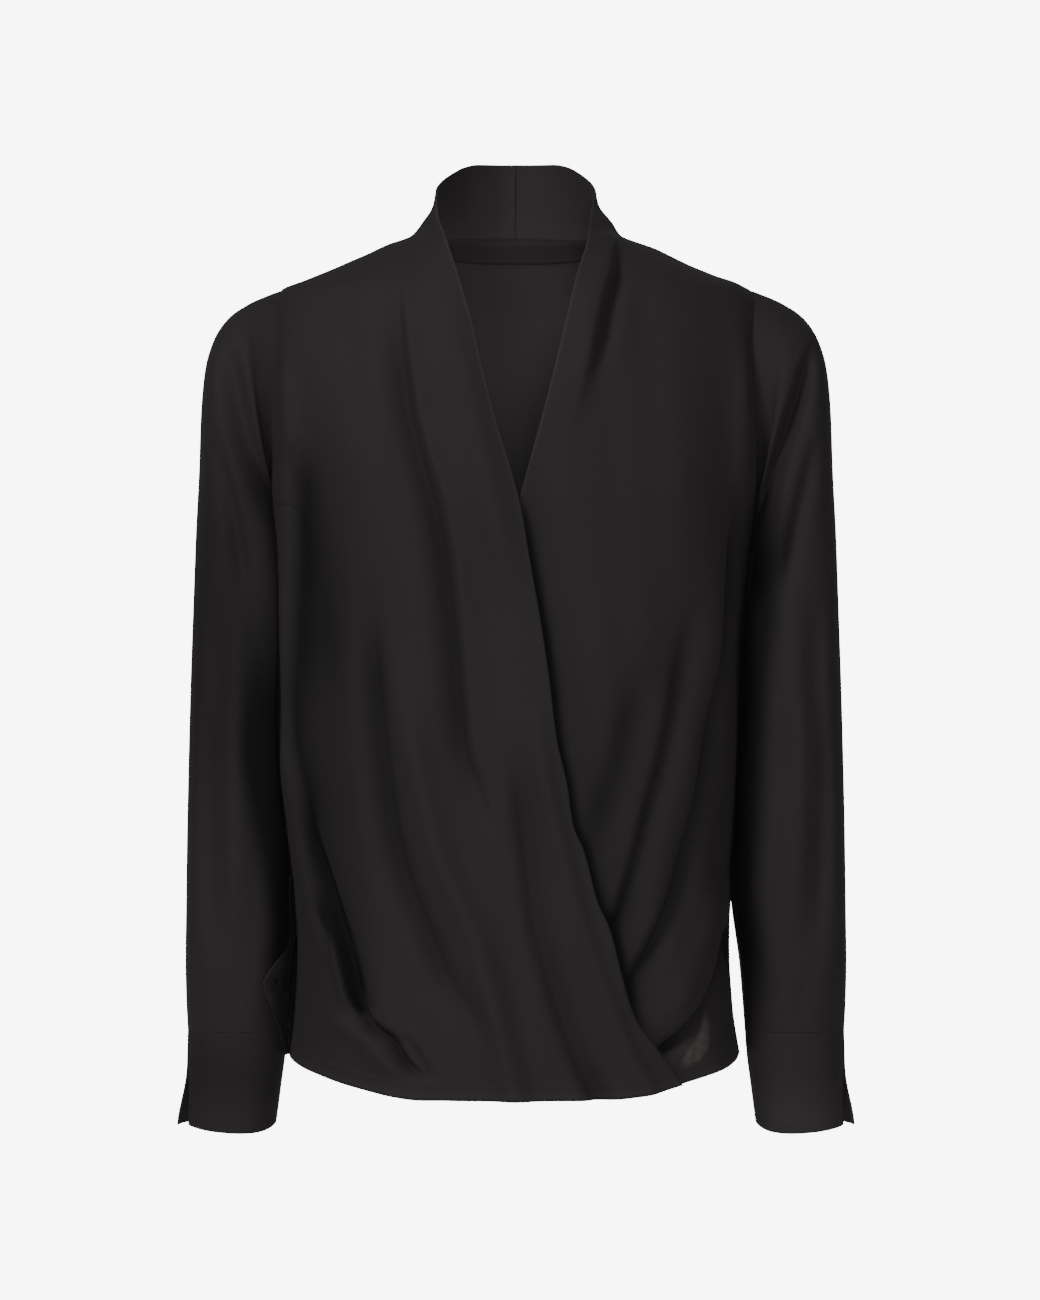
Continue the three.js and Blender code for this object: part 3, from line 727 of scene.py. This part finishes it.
def mixed(tree, x, y, share, first, second):
    """Two colours mixed. A colour mix has its colours at sockets 6 and 7 and its result at 2."""
    return node(tree, "ShaderNodeMix", x, y, {0: share, 6: first, 7: second}, data_type="RGBA").outputs[2]


def ranged(tree, x, y, value, low, high):
    return node(tree, "ShaderNodeMapRange", x, y, {"Value": value, "To Min": low, "To Max": high}).outputs[0]


def add_sockets(tree, way, kind, names):
    return [tree.interface.new_socket(name=n, in_out=way, socket_type="NodeSocket" + kind) for n in names]


CRINKLES = 900  # to a metre of cloth
WEAVE_RELIEF = 0.35  # the weave's height beside the crinkles'
SHADE_STRETCH = 0.28  # a broad shade's width beside its height


def crepe_group():
    """Fine crinkled yarns: height for a bump, a speckle for the colour and a broad soft shade."""
    tree = bpy.data.node_groups.new("crepe_yarns", "ShaderNodeTree")
    sockets = add_sockets(tree, "INPUT", "Float", ("Thread size", "Crinkle", "Shade size"))
    for socket, default in zip(sockets, (0.00042, 0.5, 0.09)):
        socket.default_value = default
    add_sockets(tree, "OUTPUT", "Float", ("Height", "Speckle", "Shade"))
    given = node(tree, "NodeGroupInput", -1200, 0).outputs
    flat = node(tree, "ShaderNodeUVMap", -1200, 300, uv_map="cut").outputs["UV"]
    place = node(tree, "ShaderNodeTexCoord", -1200, -300).outputs["Object"]

    crinkle = node(
        tree, "ShaderNodeTexNoise", -900, -50, {"Vector": flat, "Scale": CRINKLES, "Detail": 3}
    ).outputs
    centred = vector(tree, -700, -50, "SUBTRACT", {0: crinkle["Color"], 1: (0.5, 0.5, 0.5)})
    amount = number(tree, -700, -250, "MULTIPLY", given["Crinkle"], given["Thread size"])
    moved = vector(tree, -500, -50, "SCALE", {0: centred, "Scale": amount})
    warped = vector(tree, -300, 150, "ADD", {0: flat, 1: moved})
    split = node(tree, "ShaderNodeSeparateXYZ", -100, 150, {0: warped}).outputs
    waves = []
    for y, axis in ((300, "X"), (50, "Y")):
        turns = number(tree, 100, y, "DIVIDE", split[axis], given["Thread size"])
        phase = number(tree, 250, y, "MULTIPLY", turns, math.tau)
        waves.append(number(tree, 400, y, "SINE", phase))
    weave = number(tree, 560, 200, "MULTIPLY", *waves)
    height = number(tree, 720, 200, "MULTIPLY_ADD", weave, WEAVE_RELIEF, crinkle["Fac"])

    scale = number(tree, -900, -450, "DIVIDE", 1, given["Shade size"])
    stretch = {"Vector": place, "Scale": (1, 1, SHADE_STRETCH)}
    stretched = node(tree, "ShaderNodeMapping", -900, -650, stretch).outputs[0]
    shade = node(
        tree, "ShaderNodeTexNoise", -600, -500, {"Vector": stretched, "Scale": scale, "Detail": 2}
    ).outputs
    found = {"Height": height, "Speckle": crinkle["Fac"], "Shade": shade["Fac"]}
    node(tree, "NodeGroupOutput", 900, 0, found)
    return tree


PAINTED_LIGHT_TONE = (0.075, 0.066, 0.062, 1)  # painted light: lit edges and hems, and single-layer cloth with light behind it
PAINTED_SHADE_KEEP = 0.12  # how much of its tone the cloth keeps under the fullest painted shade
SPECKLE_TONE = 0.18
SPECKLE_ROUGHNESS = 0.12


def tone_group():
    """The cloth's colour and roughness from its two tones, its yarns and its two masks of painted light and
    painted shade.
    """
    tree = bpy.data.node_groups.new("cloth_tone", "ShaderNodeTree")
    add_sockets(tree, "INPUT", "Color", ("Dark", "Light"))
    add_sockets(tree, "INPUT", "Float", ("Shade", "Speckle", "Least roughness"))
    add_sockets(tree, "OUTPUT", "Color", ("Color",))
    add_sockets(tree, "OUTPUT", "Float", ("Roughness",))
    given = node(tree, "NodeGroupInput", -700, 0).outputs
    # the masks of painted light and of painted shade that the pieces carry
    painted_light_mask = node(tree, "ShaderNodeAttribute", -400, 450, attribute_name="painted_light").outputs["Fac"]
    deep = node(tree, "ShaderNodeAttribute", -400, 650, attribute_name="pocket").outputs["Fac"]

    tones = mixed(tree, -400, 200, given["Shade"], given["Dark"], given["Light"])
    specks = ranged(tree, -400, -50, given["Speckle"], 1 - SPECKLE_TONE, 1 + SPECKLE_TONE)
    toned = vector(tree, -200, 150, "SCALE", {0: tones, "Scale": specks})
    lighter = mixed(tree, 0, 250, painted_light_mask, toned, PAINTED_LIGHT_TONE)
    kept = ranged(tree, 0, 500, deep, 1, PAINTED_SHADE_KEEP)
    shaded = vector(tree, 200, 250, "SCALE", {0: lighter, "Scale": kept})
    least = given["Least roughness"]
    rough = number(tree, -200, -200, "MULTIPLY_ADD", given["Speckle"], SPECKLE_ROUGHNESS, least)
    node(tree, "NodeGroupOutput", 600, 0, {"Color": shaded, "Roughness": rough})
    return tree


CREPE_GROUP = crepe_group()
TONE_GROUP = tone_group()
RELIEF_STRENGTH = 0.35
RELIEF_HEIGHT = 0.00012
SPECULAR = 0.16
SHEEN_ROUGHNESS = 0.45
SHEEN_TINT = (0.86, 0.82, 0.84, 1)


def new_material(name):
    material = bpy.data.materials.new(name)
    material.use_nodes = True
    return material, material.node_tree, material.node_tree.nodes["Principled BSDF"]


def cloth_material(name, dark, light, thread_mm, crinkle, roughness, sheen):
    """Woven black cloth: two close tones, yarn relief and a faint nap."""
    material, tree, shader = new_material(name)
    threads = {"Thread size": thread_mm * MM, "Crinkle": crinkle}
    yarns = node(tree, "ShaderNodeGroup", -700, 0, threads, node_tree=CREPE_GROUP).outputs
    colours = {
        "Dark": (*dark, 1), "Light": (*light, 1), "Shade": yarns["Shade"],
        "Speckle": yarns["Speckle"], "Least roughness": roughness - SPECKLE_ROUGHNESS / 2,
    }
    tone = node(tree, "ShaderNodeGroup", -300, 150, colours, node_tree=TONE_GROUP).outputs
    bumps = {"Height": yarns["Height"], "Strength": RELIEF_STRENGTH, "Distance": RELIEF_HEIGHT}
    relief = node(tree, "ShaderNodeBump", -300, -250, bumps).outputs[0]
    wire(tree, shader, {
        "Base Color": tone["Color"], "Roughness": tone["Roughness"], "Normal": relief,
        "Specular IOR Level": SPECULAR, "Sheen Weight": sheen, "Sheen Roughness": SHEEN_ROUGHNESS,
        "Sheen Tint": SHEEN_TINT,
    })
    return material


BLACK_CREPE = cloth_material(
    "black_crepe", (0.0212, 0.0181, 0.0189), (0.0285, 0.0244, 0.0255), 0.42, 0.8, 0.74, 0.03
)
NECK_TAPE = cloth_material(
    "neck_tape", (0.0160, 0.0134, 0.0145), (0.0198, 0.0167, 0.0180), 0.8, 0.25, 0.7, 0.02
)
THREAD = cloth_material(
    "sewing_thread", (0.0170, 0.0155, 0.0160), (0.0240, 0.0220, 0.0228), 0.2, 0.2, 0.5, 0.1
)


# Panels

FRONT_ROWS, FRONT_COLUMNS, FRONT_SHOULDER_ROWS = 244, 180, 44
BACK_ROWS, BACK_COLUMNS, BACK_SHOULDER_ROWS = 240, 150, 40
COLLAR_ROWS, COLLAR_COLUMNS = 34, 70
TAPE_ROWS, TAPE_COLUMNS = 12, 90
CORNER_ROWS, CORNER_COLUMNS = 90, 26
COLLAR_FRONT_TOP = 34
COLLAR_OVERLAP = 1.2  # how far the collar starts below the neck seam
TAPE_START = 128  # the turn at which the neck tape's ends lie
TAPE_TOP = 0.5  # above the neck seam
TAPE_HEIGHT = 19
# Painted highlight along a front's edge, and painted shadow on the under front beside the over front's edge
EDGE_LIGHT, EDGE_LIGHT_REACH = 0.3, 1.6
EDGE_SHADOW, EDGE_SHADOW_REACH = 0.85, 6
EDGE_SHADOW_SPAN = (195, 225, 560, 600)  # distances below the neck
CORNER_CLEARANCE = 3  # between the slipped corner and the sleeve
SEWN = {}


def level_rows(top, rows, shoulder_rows):
    """Row heights: even down the body and closer together over the shoulder."""
    body = np.linspace(HEM_FRONT, ARMHOLE_TOP, rows - shoulder_rows, endpoint=False)
    return np.concatenate([body, np.linspace(ARMHOLE_TOP, top, shoulder_rows)])


def front_angles(side, edge_x, levels):
    edge = angle_at_x(edge_x(levels), levels)
    seam = side * side_angle(side, levels, False)
    start, end = (seam, edge) if side < 0 else (edge, seam)
    return start[:, None] + (end - start)[:, None] * np.linspace(0, 1, FRONT_COLUMNS)


def front(name, side, edge_x, lift, wave_offset):
    levels = level_rows(COLLAR_FRONT_TOP, FRONT_ROWS, FRONT_SHOULDER_ROWS)
    angles = front_angles(side, edge_x, levels)
    heights = row_height(levels[:, None], angles)
    points, pocket = panel_grid(angles, heights, lift, ["start"] if side < 0 else ["end"], wave_offset)
    from_edge = points[..., 0] - (points[:, -1:, 0] if side < 0 else points[:, :1, 0])
    # painted highlight along the front edge, and painted light at the hem
    painted_light = EDGE_LIGHT * bump(from_edge, EDGE_LIGHT_REACH) * smoothstep(-300, -120, heights)
    painted_light = painted_light + hem_painted_light(angles, heights)
    # painted shade in the drape's mouth on the over front; painted light through a patch and painted shadow
    # beside the over front's edge on the under front
    if side < 0:
        pocket = pocket + drape_shade(points)
    else:
        painted_light = painted_light + patch_painted_light(points)
        beside_edge = bump(points[..., 0] - over_edge_x(heights), EDGE_SHADOW_REACH)
        pocket = pocket + EDGE_SHADOW * beside_edge * band(*EDGE_SHADOW_SPAN, -heights)
    piece = name.replace("cloth_", "")
    SEWN[piece + "_hem"] = points
    made = grid_object(name, points, painted_light=painted_light, pocket=pocket + soft_shade(piece, points))
    finish_piece(made, BLACK_CREPE, [piece])


def drape_shade(points):
    """Painted shade with a crisp edge to the wearer's right and a soft one to the left."""
    x, z = points[..., 0], points[..., 2]
    right, left = drape_mouth_at["right"](z), drape_mouth_at["left"](z)
    inside = band(right - 2, right + 3.5, left - 4, left + 4, x)
    return inside * band(*DRAPE_MOUTH_SPAN, z)


def soft_shade(piece, points):
    total = 0 * points[..., 0]
    for row_piece, x, z, across, down, amount in SOFT_SHADE:
        if row_piece == piece:
            spread = ((points[..., 0] - x) / across) ** 2 + np.abs((points[..., 2] - z) / down) ** 3
            in_front = smoothstep(SIDE_Y + 10, SIDE_Y - 20, points[..., 1])
            total = total + amount * np.exp(-spread) * in_front
    return total


def hem_painted_light(angles, heights):
    """Painted light: the hem's turned edge and its line of stitches are painted a little lighter."""
    above = heights - hem_height(angles)
    return 0.12 * (1 - smoothstep(3, 9, above)) + 0.1 * bump(above - HEM_STITCH, 1.2)


def patch_painted_light(points):
    """Painted light through one single-layer patch low on the wearer's left, between the drape's edge and
    the side strip.
    """
    x, z = points[..., 0], points[..., 2]
    left, right = patch_at["left"](z), patch_at["right"](z)
    inside = band(left - PATCH_EDGE, left + PATCH_EDGE, right - PATCH_EDGE, right + PATCH_EDGE, x)
    uneven = 0.6 + 0.25 * np.sin(x / 1.7 + z / 3.1) * np.sin(z / 2.3 - x / 4.7)
    beside = bump(x - left + 6, 9) * bump(z + 606, 14)
    return uneven * inside * band(*PATCH_SPAN, z) + 0.1 * beside


def back_piece():
    levels = level_rows(0, BACK_ROWS, BACK_SHOULDER_ROWS)
    start, end = side_angle(1, levels, True), 360 - side_angle(-1, levels, True)
    angles = start[:, None] + (end - start)[:, None] * np.linspace(0, 1, BACK_COLUMNS)
    turn = turn_of(angles)
    heights = row_height(levels[:, None], turn)
    heights = heights + neck_seam(turn) * smoothstep(-20, 0, levels[:, None])
    points, pocket = panel_grid(angles, heights, back_lift, ["start", "end", "top"], 5.0)
    SEWN["back_hem"] = points
    made = grid_object("cloth_back", points, painted_light=hem_painted_light(turn, heights), pocket=pocket)
    corner, shade = back_corner()
    join(made, grid_object("corner", corner, pocket=shade))
    finish_piece(made, BLACK_CREPE, ["back"])


def back_corner():
    """The back panel's corner that has slipped forward between the right sleeve and the hip, with its
    painted shade.
    """
    heights = np.linspace(CORNER["z"][0], CORNER["z"][-1], CORNER_ROWS)[:, None]
    share = np.linspace(0, 1, CORNER_COLUMNS)[None, :]
    outer, inner = (np.interp(heights, CORNER["z"], CORNER[name]) for name in ("outer", "inner"))
    x = outer + (inner - outer) * share
    ring = sleeve_ring(sleeve_row(heights))
    middle, half = (ring["outer_x"] + ring["inner_x"]) / 2, (ring["outer_x"] - ring["inner_x"]) / 2
    across = np.clip((middle - x) / half, 0, 1)
    depth = ring["depth"] * (1 - across**SLEEVE_ROUNDNESS) ** (1 / SLEEVE_ROUNDNESS)
    crumple = 1.6 * np.sin(heights / 7 + 9 * share) + 1.2 * np.sin(heights / 3.7 - 5 * share)
    y = ring["middle_y"] - depth - CORNER_CLEARANCE - crumple * np.sin(np.pi * share)
    # painted shade over the corner, less of it low down and along a lit streak
    below = smoothstep(-525, -560, heights)
    lit_streak = bump(share - 0.1, 0.16) * bump(heights + 543, 15)
    pocket = 0.75 - 0.55 * below * (1 - smoothstep(0.3, 0.85, share)) - 0.7 * lit_streak
    return np.stack([-x, y, heights + 0 * x], -1), pocket + 0 * x


def collar_half(name, side):
    angles = np.linspace(90.0, 180.0, COLLAR_COLUMNS)
    if side < 0:
        angles = (360 - angles)[::-1]
    turn = turn_of(angles)
    bottom, top = neck_seam(turn) - COLLAR_OVERLAP, collar_top(turn)
    share = np.linspace(0, 1, COLLAR_ROWS)[:, None]
    heights = bottom + (top - bottom) * share
    grid = np.broadcast_to(angles, heights.shape)
    points, _ = panel_grid(grid, heights, lambda x, z: 0 * x, ["bottom"], 0)
    dip = SEAM_DIP * bump(points[..., 0], SEAM_REACH) * smoothstep(0.05, 0.6, share)
    points = points - body_outward(grid, heights) * dip[..., None]
    made = grid_object("cloth_" + name, points, thickness=COLLAR_CLOTH)
    finish_piece(made, BLACK_CREPE, [name])


def neck_tape():
    angles = np.linspace(TAPE_START, 360 - TAPE_START, TAPE_COLUMNS)
    turn = turn_of(angles)
    height = TAPE_HEIGHT * smoothstep(70, 170, turn)
    heights = neck_seam(turn) + TAPE_TOP - height * (1 - np.linspace(0, 1, TAPE_ROWS)[:, None])
    grid = np.broadcast_to(angles, heights.shape)
    points = body_point(grid, heights) - body_outward(grid, heights) * TAPE_INSET
    made = grid_object("cloth_neck_tape", points, thickness=TAPE_CLOTH)
    finish_piece(made, NECK_TAPE, ["neck_tape"])


# Sleeves and cuffs

SLEEVE_ROWS, SLEEVE_SIDES = 210, 110
CUFF_ROWS, CUFF_SIDES = 44, 120
CUFF_TUCK = 0.012  # the share of its length by which a cuff reaches up over the sleeve's end
UPPER_INNER_REACH = 12  # how far the upper sleeve reaches in beyond its rings
# Where the painted shade beside the body begins: distances below the neck, on each side
SLEEVE_SHADE_FROM = {1: (180, 260), -1: (250, 390)}
SLEEVE_SHADE_TO = (520, 610)
SLEEVE_SHADE, SLEEVE_SHADE_REACH = 0.92, (9, 27)


def sleeve_ring(row):
    return {name: at(row) for name, at in sleeve_at.items()}


def sleeve_row(z):
    """The row whose inner side is at a height."""
    return np.interp(-z, -SLEEVE["inner_z"], SLEEVE["row"])


def armhole_point(side, angle):
    z = ARMHOLE_MIDDLE + ARMHOLE_HALF * np.cos(np.radians(angle))
    y = SIDE_Y - ARMHOLE_HALF_DEPTH * np.sin(np.radians(angle))
    return np.stack([side * (body_half_width(side, y, z) - ARMHOLE_TUCK), y, z], -1)


def sleeve_point(side, angle, row):
    ring = sleeve_ring(row)
    across, forward = np.cos(np.radians(angle)), np.sin(np.radians(angle))
    power = SLEEVE_ROUNDNESS + band(0, 5, 12, 15, row) * (0.15 + 0.85 * smoothstep(-0.3, 0.5, across))
    radius = rounded(across, forward, 1, 1, power)
    share = (radius * across + 1) / 2
    z = ring["inner_z"] + (ring["outer_z"] - ring["inner_z"]) * share
    inner_x = ring["inner_x"] - UPPER_INNER_REACH * band(0.3, 2, 6, 9.5, row)
    x = inner_x + (ring["outer_x"] - inner_x) * share
    y = ring["middle_y"] - ring["depth"] * radius * forward
    facing = smoothstep(2, 20, np.abs(y - ring["middle_y"])) * smoothstep(0, 2, row)
    own_folds = LEFT_SLEEVE_FOLDS if side > 0 else RIGHT_SLEEVE_FOLDS
    front_folds = folds_lift(SLEEVE_FRONT_FOLDS | own_folds, x, z)
    back_folds = folds_lift(SLEEVE_BACK_FOLDS, x, z)
    in_front = y < ring["middle_y"]
    lift = FOLD_STRENGTH * facing * np.where(in_front, front_folds, back_folds)
    lift = lift + band(0, 1.5, 13.4, 14.8, row) * slight_waves(x + 60 * in_front, z, 2.2 + side)
    y = y + np.where(in_front, -lift, lift) * np.abs(forward)
    clear = SLEEVE_TOUCH + (SLEEVE_CLEARANCE - SLEEVE_TOUCH) * smoothstep(*SLEEVE_PARTS, -z)
    x = np.where(z < UNDERARM, np.maximum(x, body_half_width(side, y, z) + clear), x)
    blend = smoothstep(0, 1, row)[..., None]
    return armhole_point(side, angle) * (1 - blend) + np.stack([side * x, y, z], -1) * blend


def sleeve_painted_shade(side, points):
    """Painted shade on the sleeve's inner side, which lies in the dark beside the body."""
    x, z = np.abs(points[..., 0]), points[..., 2]
    inner_x = sleeve_at["inner_x"](sleeve_row(z))
    from_inner = x - np.maximum(inner_x, body_half_width(side, SIDE_Y, z))
    along = band(*SLEEVE_SHADE_FROM[side], *SLEEVE_SHADE_TO, -z)
    return SLEEVE_SHADE * along * (1 - smoothstep(*SLEEVE_SHADE_REACH, from_inner))


def ring_points(surface, side, angles, rows):
    """A grid around a sleeve or cuff, turned so that its outward side is the same on both."""
    return surface(side, *np.meshgrid(angles[::-1] if side > 0 else angles, rows))


def sleeve(word, side):
    piece = f"sleeve_{word}"
    rows = np.linspace(0, SLEEVE["row"][-1], SLEEVE_ROWS)[::-1]
    points = ring_points(sleeve_point, side, np.linspace(0, 360, SLEEVE_SIDES, endpoint=False), rows)
    pocket = sleeve_painted_shade(side, points) + soft_shade(piece, points)
    made = grid_object("cloth_" + piece, points, around=True, pocket=pocket)
    finish_piece(made, BLACK_CREPE, [piece])


def cuff_point(side, angle, down):
    outer_side = (1 + np.cos(np.radians(angle))) / 2
    bottom = CUFF_BOTTOM + CUFF_RISE * outer_side**3 + CUFF_RISE * (1 - outer_side) ** 10
    z = CUFF_TOP + (bottom - CUFF_TOP) * down
    across, forward = np.cos(np.radians(angle)), np.sin(np.radians(angle))
    from_back_end = CUFF_FRONT_END + 360 - CUFF_SLIT - angle
    flare = CUFF_FLARE * smoothstep(0.35, 1.05, down) * bump(from_back_end, 14)
    outer_x, inner_x = cuff_at["outer_x"](z), cuff_at["inner_x"](z)
    radius = rounded(across, forward, (outer_x - inner_x) / 2, cuff_at["depth"](z), SLEEVE_ROUNDNESS)
    radius = radius + flare
    middle = (outer_x + inner_x) / 2
    return np.stack([side * (middle + radius * across), -radius * forward, z], -1)


def cuff(word, side):
    piece = f"cuff_{word}"
    angles = np.linspace(CUFF_FRONT_END, CUFF_FRONT_END + 360 - CUFF_SLIT, CUFF_SIDES)
    rows = np.linspace(1, -CUFF_TUCK, CUFF_ROWS)
    points = ring_points(cuff_point, side, angles, rows)
    SEWN[piece + "_edge"] = points
    # painted light towards the lower edge, and the broad painted shade
    painted_light, pocket = 0.16 * smoothstep(0.35, 0.95, rows)[:, None], soft_shade(piece, points)
    made = grid_object("cloth_" + piece, points, thickness=CUFF_CLOTH, painted_light=painted_light, pocket=pocket)
    finish_piece(
        made, BLACK_CREPE, [piece]
    )


# Stitches

STITCH_LENGTH, STITCH_STEP, STITCH_WIDTH = 2.0, 3.0, 0.42
STITCH_SUNK, STITCH_LIFT, STITCH_RIDGE = 0.15, 0.32, 0.12


def stitches(name, points, outward):
    """Small flat stitches along a line of points on the cloth, with its outward directions."""
    lengths = np.concatenate([[0], np.cumsum(np.linalg.norm(np.diff(points, axis=0), axis=1))])
    starts = np.arange(STITCH_STEP, lengths[-1] - STITCH_STEP, STITCH_STEP)

    def on_line(values, at):
        return np.stack([np.interp(at, lengths, values[:, k]) for k in range(3)], -1)

    first, last = on_line(points, starts), on_line(points, starts + STITCH_LENGTH)
    up = on_line(outward, starts + STITCH_LENGTH / 2)
    aside = unit(np.cross(last - first, up)) * STITCH_WIDTH / 2
    middle = (first + last) / 2 + up * STITCH_LIFT
    vertices, faces = [], []
    for a, b, m, s, u in zip(first, last, middle, aside, up):
        k = len(vertices)
        low, ridge = STITCH_SUNK * u, m + u * STITCH_RIDGE
        vertices += [a - low, m - s, m + s, b - low, ridge - s * 0.5, ridge + s * 0.5]
        faces += [
            (k, k + 1, k + 4), (k, k + 4, k + 5), (k, k + 5, k + 2),
            (k + 3, k + 4, k + 1), (k + 3, k + 5, k + 4), (k + 3, k + 2, k + 5),
        ]
    mesh = bpy.data.meshes.new(name)
    mesh.from_pydata((np.array(vertices) * MM).tolist(), [], faces)
    mesh.materials.append(THREAD)
    made = add_object(name, mesh)
    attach(made, "root")


def surface_line(points, outward, above):
    """The line across a grid at a distance above its lowest row."""
    steps = np.linalg.norm(np.diff(points, axis=0, prepend=points[:1]), axis=-1)
    climb = np.cumsum(steps, 0)
    line, sides = [], []
    for k in range(points.shape[1]):
        line.append([np.interp(above, climb[:, k], points[:, k, c]) for c in range(3)])
        sides.append([np.interp(above, climb[:, k], outward[:, k, c]) for c in range(3)])
    return np.array(line), np.array(sides)


def sew_hems():
    for name, points in SEWN.items():
        above = CUFF_STITCH if "cuff" in name else HEM_STITCH
        stitches("stitches_" + name, *surface_line(points, grid_outward(points), above))


# Scene

def place_camera():
    centre_x = (PHOTO_WIDTH / 2 - MIDDLE_PIXEL_X) * PHOTO_SCALE
    centre_z = (NECK_PIXEL_Y - PHOTO_HEIGHT / 2) * PHOTO_SCALE
    camera = add_object("camera", bpy.data.cameras.new("camera"))
    camera.data.sensor_fit = "VERTICAL"
    camera.data.sensor_height = SENSOR_HEIGHT
    camera.data.lens = SENSOR_HEIGHT * CAMERA_DISTANCE / (PHOTO_HEIGHT * PHOTO_SCALE)
    camera.location = (centre_x, -CAMERA_DISTANCE, centre_z)
    camera.rotation_euler = (math.radians(90), 0, 0)
    bpy.context.scene.camera = camera


def light_room():
    world = bpy.data.worlds.new("studio")
    world.use_nodes = True
    tree = world.node_tree
    room = tree.nodes["Background"]
    wire(tree, room, {"Color": (1, 1, 1, 1), "Strength": ROOM_LIGHT})
    backdrop = {"Color": (1, 1, 1, 1), "Strength": BACKDROP_LIGHT}
    seen = node(tree, "ShaderNodeBackground", -200, -200, backdrop).outputs[0]
    by_camera = node(tree, "ShaderNodeLightPath", -200, 300).outputs["Is Camera Ray"]
    choice = node(tree, "ShaderNodeMixShader", 100, 0, {0: by_camera, 1: room.outputs[0], 2: seen})
    wire(tree, tree.nodes["World Output"], {"Surface": choice.outputs[0]})
    bpy.context.scene.world = world

    for name, place, target, size, power in LAMPS:
        lamp = bpy.data.lights.new(name, "AREA")
        lamp.size = size
        lamp.energy = power
        made = add_object(name, lamp)
        made.location = place
        aim = np.array(target) - np.array(place)
        made.rotation_euler = (
            math.atan2(math.hypot(aim[0], aim[1]), -aim[2]), 0, math.atan2(-aim[0], aim[1])
        )


def lay_floor():
    mesh = bpy.data.meshes.new("floor")
    corners = ((-1, -1), (1, -1), (1, 1), (-1, 1))
    mesh.from_pydata([(FLOOR_HALF * x, FLOOR_HALF * y, FLOOR_Z) for x, y in corners], [], [(0, 1, 2, 3)])
    floor = add_object("floor", mesh)
    material, tree, shader = new_material("pale_floor")
    grain = node(tree, "ShaderNodeTexNoise", -500, 0, {"Scale": 3}).outputs["Fac"]
    tone = mixed(tree, -250, 0, grain, (0.86, 0.86, 0.86, 1), (0.9, 0.9, 0.9, 1))
    wire(tree, shader, {"Base Color": tone, "Roughness": 0.9})
    mesh.materials.append(material)


place_camera()
light_room()
lay_floor()
back_piece()
front("cloth_front_left", 1, under_edge_x, under_lift, 3.0)
front("cloth_front_right", -1, over_edge_x, over_lift, 0.0)
collar_half("collar_right", -1)
collar_half("collar_left", 1)
neck_tape()
for word, side in (("right", -1), ("left", 1)):
    sleeve(word, side)
    cuff(word, side)

sew_hems()
